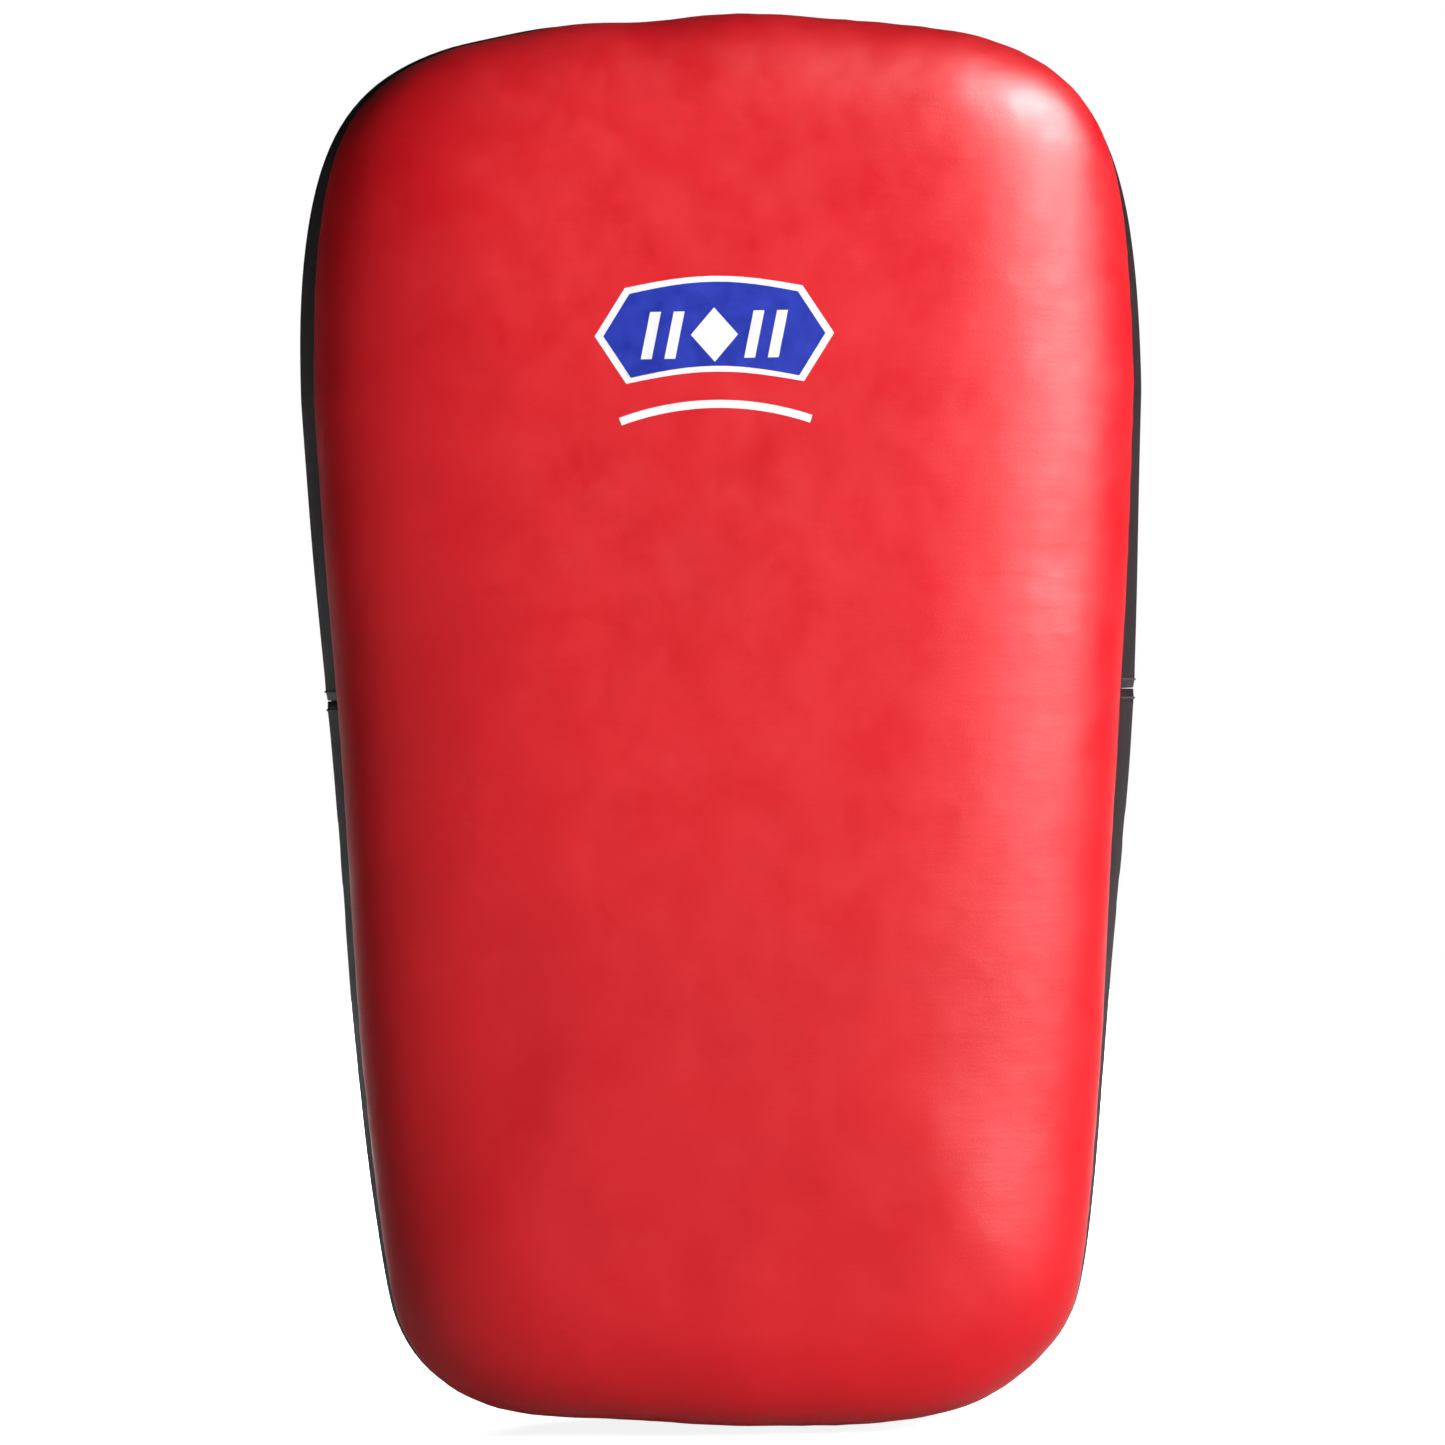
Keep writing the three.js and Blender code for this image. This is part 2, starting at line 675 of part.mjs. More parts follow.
add('front_panel', frontPanel(), MATERIALS.redLeather);
add('gusset_upper', gussetStrip(true), MATERIALS.blackLeather);
add('gusset_lower', gussetStrip(false), MATERIALS.blackLeather);
add('front_emblem', badge(0, FRONT_Y, EMBLEM_FILM), MATERIALS.print);
add('front_foam', frontFoam(), MATERIALS.foam);
add('core_foam', filling(SEAM_Y + GAP, CORE_BACK_Y), MATERIALS.denseFoam);
add('rear_foam', filling(CORE_BACK_Y + GAP, REAR_FOAM_BACK_Y), MATERIALS.foam);
add('backing_board', backingBoard(), MATERIALS.board);
add('back_panel', backPanel(), MATERIALS.blackLeather);
add('edge_binding', edgeBinding(), MATERIALS.binding);

eyeletPlaces().forEach(({ point, out }, i) => {
  const sideName = point.x < 0 ? 'left' : 'right';
  const mesh = add(`vent_eyelet_${sideName}_${Math.floor(i / 2) + 1}`, eyelet(), MATERIALS.steel);
  mesh.position.copy(point);
  mesh.quaternion.copy(turnTo(out));
});

add('forearm_pad_cover', armPadCover(), MATERIALS.blackLeather);
add('forearm_pad_foam', loft(armPadRings(LEATHER + GAP)), MATERIALS.foam);

for (const [name, low] of Object.entries(STRAP_LOWS)) {
  const strap = new THREE.Group();
  const tapeLow = low + TAPE_MARGIN;
  const tapeWidth = STRAP_WIDTH - 2 * TAPE_MARGIN;
  const over = archBand(ARCH_SPAN.over, OVER_LOW, OVER_LOW + WEB, low, STRAP_WIDTH);
  const hook = archBand(ARCH_SPAN.hook, HOOK_LOW, HOOK_LOW + TAPE, tapeLow, tapeWidth);
  const loop = archBand(ARCH_SPAN.loop, LOOP_LOW, LOOP_LOW + TAPE, tapeLow, tapeWidth);
  const counter = archBand(ARCH_SPAN.counter, 0, COUNTER_TOP, low, STRAP_WIDTH);
  add(`${name}_strap_foot`, strapFoot(-1, OVER_LOW, low), MATERIALS.webbing, strap);
  add(`${name}_strap_patch`, strapPatch(-1, OVER_LOW, low), MATERIALS.blackLeather, strap);
  add(`${name}_over_strap`, over, MATERIALS.webbing, strap);
  add(`${name}_hook_patch`, hook, MATERIALS.tape, strap);
  add(`${name}_counter_foot`, strapFoot(1, 0, low), MATERIALS.webbing, strap);
  add(`${name}_counter_patch`, strapPatch(1, 0, low), MATERIALS.blackLeather, strap);
  add(`${name}_counter_strap`, counter, MATERIALS.webbing, strap);
  add(`${name}_loop_patch`, loop, MATERIALS.tape, strap);
  pad.add(strap);
}

const handle = new THREE.Group();
add('handle_strap', handleStrap(), MATERIALS.webbing, handle);
add('handle_grip_foam', gripFoam(), MATERIALS.foam, handle);
add('handle_grip_cover', gripCover(), MATERIALS.blackLeather, handle);
for (const [side, sideName] of [[-1, 'left'], [1, 'right']]) {
  add(`handle_foot_${sideName}`, handleFoot(side), MATERIALS.webbing, handle);
  add(`handle_patch_${sideName}`, handlePatch(side), MATERIALS.blackLeather, handle);
}
pad.add(handle);

for (const { name, x, z, top } of rivetPlaces()) {
  add(name, rivet(top), MATERIALS.steel).position.set(x, 0, z);
}

export default pad;
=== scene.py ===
"""A thai pad: red striking face, black gusset, and on the back a forearm cushion, two straps and a handle.

Metres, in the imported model's frame: +Z up the pad, the striking face looks along -Y, the straps are at +Y.
"""

import json
import math

import bmesh
import bpy
import numpy as np
from mathutils import Matrix, Vector, noise
from mathutils.bvhtree import BVHTree


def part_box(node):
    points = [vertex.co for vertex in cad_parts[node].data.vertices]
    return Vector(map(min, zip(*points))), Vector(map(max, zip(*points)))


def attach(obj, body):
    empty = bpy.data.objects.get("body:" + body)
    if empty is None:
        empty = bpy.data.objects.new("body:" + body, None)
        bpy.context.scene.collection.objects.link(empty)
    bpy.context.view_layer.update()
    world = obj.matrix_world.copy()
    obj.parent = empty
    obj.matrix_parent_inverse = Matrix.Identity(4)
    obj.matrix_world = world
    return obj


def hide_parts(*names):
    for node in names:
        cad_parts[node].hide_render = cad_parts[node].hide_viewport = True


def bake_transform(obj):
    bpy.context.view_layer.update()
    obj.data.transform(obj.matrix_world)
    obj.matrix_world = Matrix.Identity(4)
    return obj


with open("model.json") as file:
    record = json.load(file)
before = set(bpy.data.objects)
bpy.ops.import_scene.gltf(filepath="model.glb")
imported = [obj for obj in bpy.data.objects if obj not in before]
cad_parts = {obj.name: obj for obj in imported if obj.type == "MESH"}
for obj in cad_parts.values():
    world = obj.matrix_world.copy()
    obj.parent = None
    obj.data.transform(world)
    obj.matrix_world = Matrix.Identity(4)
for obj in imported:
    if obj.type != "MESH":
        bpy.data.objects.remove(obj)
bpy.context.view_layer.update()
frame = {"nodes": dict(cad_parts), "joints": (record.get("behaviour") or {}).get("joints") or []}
MM = 0.001

# ---- What the frame says ----

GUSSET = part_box("gusset_upper")
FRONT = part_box("front_panel")
ARM_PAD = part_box("forearm_pad_cover")
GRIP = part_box("handle_grip_cover")
BINDING_LOW, BINDING_TOP = (corner.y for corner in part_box("edge_binding"))
HALF_WIDTH = GUSSET[1].x
HEIGHT = GUSSET[1].z
SEAM_Y = FRONT[1].y
FACE_Y = FRONT[0].y
GUSSET_END_Y = GUSSET[1].y
BACK_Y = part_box("back_panel")[1].y
JOIN_Z = (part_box("gusset_lower")[1].z + GUSSET[0].z) / 2
HINGE = {joint["name"]: joint["pos_m"] for joint in frame["joints"]}

# ---- Sizes that belong to the looks ----

LEATHER = 1.6 * MM
BACK_LEATHER = 1.2 * MM
LOOP_POINTS = 360  # round the case
SPINE = (0.275 * HEIGHT, 0.725 * HEIGHT)  # the outline shrinks towards a line between these heights
LAST_RING = 5 * MM  # from the spine to a surface's last ring of points
STITCH = 3.4 * MM
THREAD = 0.36 * MM


# ---- Small mathematics ----


def smooth(value, low, high):
    share = np.clip((np.asarray(value, float) - low) / (high - low), 0, 1)
    return share * share * (3 - 2 * share)


def bell(value, centre, width):
    return np.exp(-(((value - centre) / width) ** 2))


def bezier(points, steps):
    a, b, c, d = (np.array(p, float) for p in points)
    t = np.linspace(0, 1, steps)[:, None]
    return (1 - t) ** 3 * a + 3 * (1 - t) ** 2 * t * b + 3 * (1 - t) * t**2 * c + t**3 * d


def unit(vector):
    return vector / max(np.linalg.norm(vector), 1e-9)


def lengths(points):
    steps = np.linalg.norm(np.diff(points, axis=0), axis=1)
    return np.concatenate([[0], np.cumsum(steps)])


def at_lengths(points, along, wanted):
    """The values of points at the wanted lengths; along holds the length at each point."""
    return np.stack([np.interp(wanted, along, points[:, i]) for i in range(points.shape[1])], axis=-1)


def resampled(points, count):
    along = lengths(points)
    return at_lengths(points, along, np.linspace(0, along[-1], count))


def closed(points):
    return np.concatenate([points, points[:1]])


def wobble(points, size, seed):
    """Smooth noise, about -1 to 1, at each point; size is the width of a bump."""
    shift = Vector((seed * 17.3, seed * 5.1, seed * 9.7))
    return np.array([noise.noise(Vector(p) / size + shift) for p in points])


def at_height(flat, y):
    """Outline points (x, z) as points at depth y, which may differ from point to point."""
    return np.stack([flat[:, 0], np.broadcast_to(y, len(flat)), flat[:, 1]], axis=1)


def rounded_rectangle(x0, x1, z0, z1, corner, corner_points, count):
    """Evenly spaced (x, z) points round a rectangle with round corners."""
    centres = [(x1 - corner, z0 + corner), (x1 - corner, z1 - corner)]
    centres += [(x0 + corner, z1 - corner), (x0 + corner, z0 + corner)]
    points = []
    for quarter, (x, z) in enumerate(centres):
        for angle in np.radians(np.linspace(90 * quarter - 90, 90 * quarter, corner_points)):
            points.append((x + corner * math.cos(angle), z + corner * math.sin(angle)))
    return resampled(np.array(points + points[:1]), count + 1)[:-1]


# ---- Meshes ----


def link_up(name, data):
    obj = bpy.data.objects.new(name, data)
    bpy.context.scene.collection.objects.link(obj)
    return obj


def make_smooth(mesh):
    mesh.polygons.foreach_set("use_smooth", [True] * len(mesh.polygons))


def make_object(name, vertices, faces, uvs, material):
    mesh = bpy.data.meshes.new(name)
    mesh.from_pydata([tuple(v) for v in vertices], [], faces)
    if uvs is not None:
        layer = mesh.uv_layers.new(name="UVMap")
        layer.data.foreach_set("uv", np.array(uvs, np.float32).ravel())
    make_smooth(mesh)
    mesh.update()
    mesh.materials.append(material)
    return link_up(name, mesh)


def outward(obj):
    """Turns the faces of a closed mesh to point out."""
    bm = bmesh.new()
    bm.from_mesh(obj.data)
    bmesh.ops.recalc_face_normals(bm, faces=bm.faces)
    bm.to_mesh(obj.data)
    bm.free()
    return obj


def grid(name, points, material, wrap_rows=False, wrap_columns=False, capped=False):
    """A mesh over rows and columns of points, with UVs in metres, bent round on itself where asked."""
    points = np.asarray(points, float)
    rows, columns = points.shape[:2]
    row_ids = list(range(rows)) + [0] * wrap_rows
    column_ids = list(range(columns)) + [0] * wrap_columns
    us = lengths(points[rows // 2][column_ids])
    vs = lengths(points[:, columns // 3][row_ids])
    faces, uvs = [], []
    for r in range(len(row_ids) - 1):
        for c in range(len(column_ids) - 1):
            corners = [(r, c), (r, c + 1), (r + 1, c + 1), (r + 1, c)]
            faces.append([row_ids[i] * columns + column_ids[j] for i, j in corners])
            uvs += [(us[j], vs[i]) for i, j in corners]
    if capped:
        for row in (0, rows - 1):
            faces.append([row * columns + c for c in range(columns)])
            uvs += [(x, z) for x, _, z in points[row]]
    return outward(make_object(name, points.reshape(-1, 3), faces, uvs, material))


def thicken(obj, thickness):
    """Gives an open sheet its thickness, inwards."""
    modifier = obj.modifiers.new("thickness", "SOLIDIFY")
    modifier.thickness = thickness
    modifier.offset = -1
    return obj


def coordinates(mesh):
    return np.array([vertex.co for vertex in mesh.vertices], float)


def set_coordinates(mesh, points):
    mesh.vertices.foreach_set("co", points.astype(np.float32).ravel())
    mesh.update()


def surface(obj):
    """A piece's finished surface, to lay other pieces on."""
    return BVHTree.FromObject(obj, bpy.context.evaluated_depsgraph_get())


def laid_row(ground, starts, way, lift=0.0):
    """Points and normals where rays from the starts meet the ground, the points lifted back along the way."""
    points, normals = [], []
    for start in starts:
        place, normal, _, _ = ground.ray_cast(Vector(start), Vector(way))
        points.append(place - Vector(way) * lift)
        normals.append(normal)
    return points, normals


# ---- The case's outline ----

# The right half of the outline from the lower end to the top, as shares of half-width and height.
RIGHT_EDGE = [
    [(0, 0), (0.08, 0), (0.17, 0), (0.252, 0)],
    [(0.252, 0), (0.437, 0.0025), (0.722, 0.0075), (0.810, 0.0815)],
    [(0.810, 0.0815), (0.894, 0.16), (1, 0.7175), (1, 0.7325)],
    [(1, 0.7325), (1, 0.8925), (0.929, 0.95), (0.648, 0.9785)],
    [(0.648, 0.9785), (0.526, 0.9908), (0.168, 1), (0, 1)],
]
CURVE_STEPS = 60

# Where the sewn case swells out of its symmetrical outline: x, z, reach and height, in millimetres.
SWELLINGS = [
    (0, 398, 85, -0.9), (-48, 397, 14, 1.0), (-20, 400, 14, -0.9), (12, 400, 16, 0.6),
    (112, 208, 62, 1.9), (-110, 188, 48, -0.9),
    (-36, 0, 24, -2.6), (-60, 3, 16, -0.4), (84, 16, 16, -1.4),
]
GONE_AT_BACK = 0.8  # the share of the swellings that is gone at the back

# How wide the gusset shows beside the striking face at some heights, in millimetres.
SHOWS_RIGHT = [
    (0, 0), (50, 0.2), (115, 1.7), (165, 3.4), (208, 4.1),
    (262, 2.8), (325, 2.1), (352, 0.8), (368, 0), (400, 0),
]
SHOWS_LEFT = [
    (0, 0), (47, 1.0), (104, 1.6), (150, 2.5), (251, 3.6),
    (300, 3.9), (345, 3.4), (370, 2.2), (388, 1.5), (400, 1.3),
]
SHOWS_ROUNDING = 18  # millimetres to each side over which a corner of these profiles is rounded
SHOWS_FROM = (30 * MM, 56 * MM)  # from the middle: at both ends of the pad it fades in between these
DRAWN_IN = 0.0115  # the share by which the striking face is smaller than the gusset


def towards_spine(loop, low, high):
    """For each point of an outline, the unit way to its spine and the distance to it."""
    spine = np.stack([np.zeros(len(loop)), np.clip(loop[:, 1], low, high)], axis=1)
    way = spine - loop
    distance = np.linalg.norm(way, axis=1)
    return way / distance[:, None], distance


def swelling(loop):
    """How far the stuffing pushes the outline out at each of its points."""
    amount = np.zeros(len(loop))
    for x, z, reach, height in SWELLINGS:
        away = np.linalg.norm(loop - [x * MM, z * MM], axis=1)
        amount += height * MM * bell(away, 0, reach * MM)
    return amount


def case_loop():
    dense = np.concatenate([bezier(curve, CURVE_STEPS)[:-1] for curve in RIGHT_EDGE] + [[[0, 1]]])
    half = resampled(dense * [HALF_WIDTH, HEIGHT], LOOP_POINTS // 2 + 1)
    loop = np.concatenate([half, half[1:-1][::-1] * [-1, 1]])
    way, _ = towards_spine(loop, *SPINE)
    loop = loop - way * swelling(loop)[:, None]
    loop[:, 1] = np.maximum(loop[:, 1], 0)
    return loop


def shows(profile, z):
    """A profile's value at some heights, with its corners rounded."""
    heights, widths = np.array(profile, float).T
    weights = np.hanning(15)[1:-1]
    shifts = np.linspace(-SHOWS_ROUNDING, SHOWS_ROUNDING, len(weights))
    samples = [np.interp(z / MM + shift, heights, widths) for shift in shifts]
    return np.tensordot(weights / weights.sum(), samples, 1) * MM


def seam_tuck(loop, way):
    """How far in the front seam sits: most on the left and half-way up the right."""
    x, z = loop.T
    uneven = np.where(x > 0, shows(SHOWS_RIGHT, z), shows(SHOWS_LEFT, z)) * smooth(np.abs(x), *SHOWS_FROM)
    from_middle = loop - [0, HEIGHT / 2]
    return uneven - DRAWN_IN * np.sum(from_middle * way, axis=1)


LOOP = case_loop()
WAY, REACH = towards_spine(LOOP, *SPINE)
TUCK = seam_tuck(LOOP, WAY)
AT_BACK = GONE_AT_BACK * swelling(LOOP)


def ring(inset, y, loop=LOOP, way=WAY):
    """The outline moved in by inset at depth y; either may differ from point to point."""
    return at_height(loop + way * np.broadcast_to(inset, len(loop))[:, None], y)


def displaced(points, amounts):
    """Grid points (rows x columns x 3, closed along columns) moved along their outward normals."""
    along = np.roll(points, -1, axis=1) - np.roll(points, 1, axis=1)
    normals = np.cross(along, np.gradient(points, axis=0))
    normals /= np.maximum(np.linalg.norm(normals, axis=2, keepdims=True), 1e-12)
    normals *= np.sign(np.sum(normals * (points - [0, 0, HEIGHT / 2]), axis=2).mean())
    flat_rows = (np.abs(points[:, :, 1:2] - FACE_Y) < 1.5 * MM).all(axis=1, keepdims=True)
    normals = np.where(flat_rows, [0, -1, 0], normals)
    return points + normals * amounts[:, :, None]


# ---- Materials ----

GRAIN = 1150  # cells of the red leather's grain in a metre


class Nodes:
    """A node material under construction."""

    def __init__(self, name):
        self.material = bpy.data.materials.new(name)
        self.material.use_nodes = True
        self.tree = self.material.node_tree
        self.shader = self.tree.nodes["Principled BSDF"]

    def node(self, kind, values=None, sources=None, **settings):
        """A new node with its settings, the values of some inputs and what is linked to others."""
        made = self.tree.nodes.new(kind)
        for key, value in settings.items():
            setattr(made, key, value)
        for key, value in (values or {}).items():
            made.inputs[key].default_value = value
        for key, source in (sources or {}).items():
            self.link(source, made.inputs[key])
        return made

    def link(self, source, target):
        self.tree.links.new(source, target)

    def place(self, space="Object", scale=(1, 1, 1)):
        texture = self.node("ShaderNodeTexCoord").outputs[space]
        return self.node("ShaderNodeMapping", {"Scale": scale}, {"Vector": texture}).outputs["Vector"]

    def noise(self, place, scale, detail=2.0, roughness=0.5):
        values = {"Scale": scale, "Detail": detail, "Roughness": roughness}
        return self.node("ShaderNodeTexNoise", values, {"Vector": place}).outputs["Fac"]

    def cells(self, place, scale, feature="DISTANCE_TO_EDGE"):
        made = self.node("ShaderNodeTexVoronoi", {"Scale": scale}, {"Vector": place}, feature=feature)
        return made.outputs["Distance"]

    def remap(self, value, low, high, to_low=0, to_high=1):
        values = {"From Min": low, "From Max": high, "To Min": to_low, "To Max": to_high}
        return self.node("ShaderNodeMapRange", values, {"Value": value}).outputs["Result"]

    def math(self, operation, a, b):
        made = self.node("ShaderNodeMath", operation=operation)
        for socket, value in zip(made.inputs, (a, b)):
            if isinstance(value, (int, float)):
                socket.default_value = value
            else:
                self.link(value, socket)
        return made.outputs["Value"]

    def blend(self, a, b, share):
        """A share of a and the rest of b."""
        return self.math("ADD", self.math("MULTIPLY", a, share), self.math("MULTIPLY", b, 1 - share))

    def mix(self, share, first, second):
        made = self.node("ShaderNodeMix", None, {"Factor": share}, data_type="RGBA")
        made.inputs["A"].default_value = (*first, 1)
        if isinstance(second, tuple):
            made.inputs["B"].default_value = (*second, 1)
        else:
            self.link(second, made.inputs["B"])
        return made.outputs["Result"]

    def bump(self, height, strength, distance, below=None):
        made = self.node("ShaderNodeBump", {"Strength": strength, "Distance": distance}, {"Height": height})
        if below is not None:
            self.link(below, made.inputs["Normal"])
        return made.outputs["Normal"]

    def finish(self, color, roughness=None, normal=None, **values):
        """The material, with sockets for its colour, roughness and normal and numbers for other inputs."""
        for key, source in (("Base Color", color), ("Roughness", roughness), ("Normal", normal)):
            if source is not None:
                self.link(source, self.shader.inputs[key])
        for key, value in values.items():
            self.shader.inputs[key.replace("_", " ")].default_value = value
        return self.material


def red_leather():
    """Smooth satin leather: hardly visible grain, faint creases across the pad, soft changes of colour."""
    m = Nodes("red_leather")
    place = m.place()
    crosswise = m.place(scale=(0.35, 1, 2.6))
    blotches = m.noise(place, 60, 4, 0.6)
    tone = m.blend(m.noise(place, 11, 3), blotches, 0.65)
    color = m.mix(m.remap(tone, 0.3, 0.7), (0.54, 0.0030, 0.0085), (0.64, 0.0042, 0.0110))
    roughness = m.remap(blotches, 0.3, 0.7, 0.36, 0.50)
    undulation = m.bump(m.noise(place, 38, 2, 0.5), 0.36, 1.9 * MM)
    creases = m.bump(m.noise(crosswise, 95, 5, 0.62), 0.07, 1.2 * MM, undulation)
    grain = m.bump(m.cells(place, GRAIN), 0.10, 0.25 * MM, creases)
    fine = m.bump(m.noise(place, 2600, 2), 0.12, 0.12 * MM, grain)
    return m.finish(color, roughness, fine, Specular_IOR_Level=0.36)


def black_leather(name, grain_size, low, high, dark=(0.0095, 0.0078, 0.0082), shine=0.34):
    """Black leather, pebbled and slightly greyed on its high places, of roughness low to high."""
    m = Nodes(name)
    place = m.place()
    worn = m.noise(place, 34, 4, 0.6)
    greyed = tuple(2.1 * channel for channel in dark)
    color = m.mix(m.remap(worn, 0.35, 0.75), dark, greyed)
    soft = m.bump(m.noise(place, 120, 4), 0.20, 0.8 * MM)
    grain = m.bump(m.cells(place, 1 / grain_size), 0.35, 0.3 * MM, soft)
    return m.finish(color, m.remap(worn, 0.3, 0.7, low, high), grain, Specular_IOR_Level=shine)


def woven(name, pitch, color, light):
    """Webbing: two sets of yarns crossing, from two stripe patterns over the piece's own length and width,
    with painted shade: darker in the weave's dips, lighter where the yarns cross over.
    """
    m = Nodes(name)
    place = m.place("UV")
    separate = m.node("ShaderNodeSeparateXYZ", None, {"Vector": place})
    turns = 2 * math.pi / pitch
    along, across = (m.math("SINE", m.math("MULTIPLY", separate.outputs[axis], turns), 0) for axis in "XY")
    height = m.remap(m.math("MULTIPLY", along, across), -1, 1)
    tone = m.blend(height, m.noise(place, 1800, 3), 0.6)
    bumps = m.bump(tone, 0.6, 0.35 * MM)
    # Painted shade: the colour follows the weave's own relief, darker in its dips and lighter on its
    # crossings.
    shade = m.mix(tone, color, light)
    return m.finish(shade, None, bumps, Roughness=0.8, Sheen_Weight=0.25, Specular_IOR_Level=0.25)


def fuzzy(name, color, light, scale, strength):
    """Hook or loop tape: a close pile, with painted shade darker in its hollows."""
    m = Nodes(name)
    place = m.place("UV")
    tone = m.blend(m.cells(place, scale, "F1"), m.noise(place, scale * 1.7, 4, 0.7), 0.5)
    # Painted shade: the colour follows the pile's relief, darker in its hollows and lighter on its tops.
    shade = m.mix(m.remap(tone, 0.2, 0.7), color, light)
    bumps = m.bump(tone, strength, 0.6 * MM)
    return m.finish(shade, None, bumps, Roughness=0.95, Specular_IOR_Level=0.1, Sheen_Weight=0.3)


def thread_material(name, color, light):
    """Twisted nylon thread, with painted shade darker in the grooves of its relief."""
    m = Nodes(name)
    twist_and_shade = m.noise(m.place(), 2400, 2)
    # Painted shade: the colour follows the thread's relief, darker in its grooves and lighter on its ridges.
    shade = m.mix(m.remap(twist_and_shade, 0.3, 0.7), color, light)
    return m.finish(shade, None, m.bump(twist_and_shade, 0.4, 0.1 * MM), Roughness=0.6)


def steel_material():
    """Nickel-plated steel with fine scratches."""
    m = Nodes("nickel")
    scratches = m.noise(m.place(scale=(1, 1, 9)), 420, 5, 0.7)
    shade = m.mix(m.noise(m.place(), 90, 3), (0.48, 0.47, 0.45), (0.62, 0.61, 0.59))
    roughness = m.remap(scratches, 0.3, 0.7, 0.18, 0.36)
    return m.finish(shade, roughness, m.bump(scratches, 0.08, 0.1 * MM), Metallic=1.0)


def print_material(name, color, light):
    """Screen print: a thin flexible film that takes up the leather's grain."""
    m = Nodes(name)
    place = m.place()
    mottle = m.noise(place, 180, 4, 0.6)
    shade = m.mix(m.remap(mottle, 0.35, 0.7), color, light)
    roughness = m.remap(mottle, 0.3, 0.7, 0.36, 0.5)
    return m.finish(shade, roughness, m.bump(m.cells(place, GRAIN), 0.12, 0.25 * MM))


def foam_material(name, color, light, scale):
    """Open foam: pores in a lighter body, darkened with painted shade where they sink in."""
    m = Nodes(name)
    pore_depth_and_shade = m.cells(m.place(), scale, "F1")
    # Painted shade: the pores are darker where the bump sinks them in.
    shade = m.mix(m.remap(pore_depth_and_shade, 0.0, 0.6), color, light)
    return m.finish(shade, None, m.bump(pore_depth_and_shade, 0.5, 0.5 * MM), Roughness=0.95, Specular_IOR_Level=0.2)


RED = red_leather()
GUSSET_BLACK = black_leather("gusset_leather", 1.3 * MM, 0.55, 0.68, (0.0125, 0.0066, 0.0080), 0.2)
BACK_BLACK = black_leather("back_leather", 1.6 * MM, 0.44, 0.6)
PAD_BLACK = black_leather("pad_leather", 1.4 * MM, 0.42, 0.56)
STRAP_BLACK = black_leather("strap_leather", 1.2 * MM, 0.38, 0.52)
GRIP_BLACK = black_leather("grip_leather", 1.5 * MM, 0.34, 0.5)
# The webbing and the binding tape carry painted shade in the dips of their weave.
WEBBING = woven("webbing", 1.7 * MM, (0.0085, 0.0075, 0.0078), (0.030, 0.027, 0.028))
TAPE = woven("binding_tape", 1.1 * MM, (0.0065, 0.0056, 0.0058), (0.022, 0.0195, 0.020))
# The hook and loop tapes carry painted shade in the hollows of their pile.
HOOKS = fuzzy("hook_tape", (0.0065, 0.0060, 0.0060), (0.030, 0.028, 0.0285), 900, 0.9)
LOOPS = fuzzy("loop_tape", (0.0085, 0.0080, 0.0080), (0.040, 0.037, 0.038), 1500, 0.7)
# Both threads carry painted shade in the grooves of their relief.
THREAD_GREY = thread_material("grey_thread", (0.30, 0.29, 0.28), (0.46, 0.45, 0.43))
DARK_THREAD = thread_material("dark_thread", (0.035, 0.032, 0.032), (0.065, 0.060, 0.060))
NICKEL = steel_material()
BLUE = print_material("emblem_blue", (0.004, 0.018, 0.30), (0.008, 0.028, 0.40))
WHITE = print_material("emblem_white", (0.72, 0.72, 0.74), (0.86, 0.86, 0.88))
# The foams and the board carry painted shade in their pores.
FOAM = foam_material("soft_foam", (0.50, 0.46, 0.38), (0.72, 0.68, 0.60), 700)
DENSE_FOAM = foam_material("dense_foam", (0.16, 0.15, 0.13), (0.30, 0.28, 0.25), 1100)
BOARD = foam_material("board", (0.03, 0.03, 0.033), (0.06, 0.06, 0.065), 300)


def dress(node, material):
    """A CAD node that stays gets its material."""
    obj = frame["nodes"][node]
    obj.data.materials.clear()
    obj.data.materials.append(material)


def settle(obj, body, slot, *nodes):
    """A finished piece rides on its body and stands for its CAD nodes, which are hidden; its slot is not
    used.
    """
    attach(obj, body)
    if nodes:
        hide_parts(*nodes)
    return obj


# ---- Stitching ----

THREAD_SIDES = 5
HALF_STITCH = 0.40 * STITCH  # the thread takes four fifths of the stitch's pitch
# Along one stitch: place as a share of its half-length, lift and size as shares of the thread's radius.
STITCH_STATIONS = [
    (-1.0, -0.9, 0.35), (-0.6, 0.25, 1.0), (0.0, 0.5, 1.1), (0.6, 0.25, 1.0), (1.0, -0.9, 0.35),
]


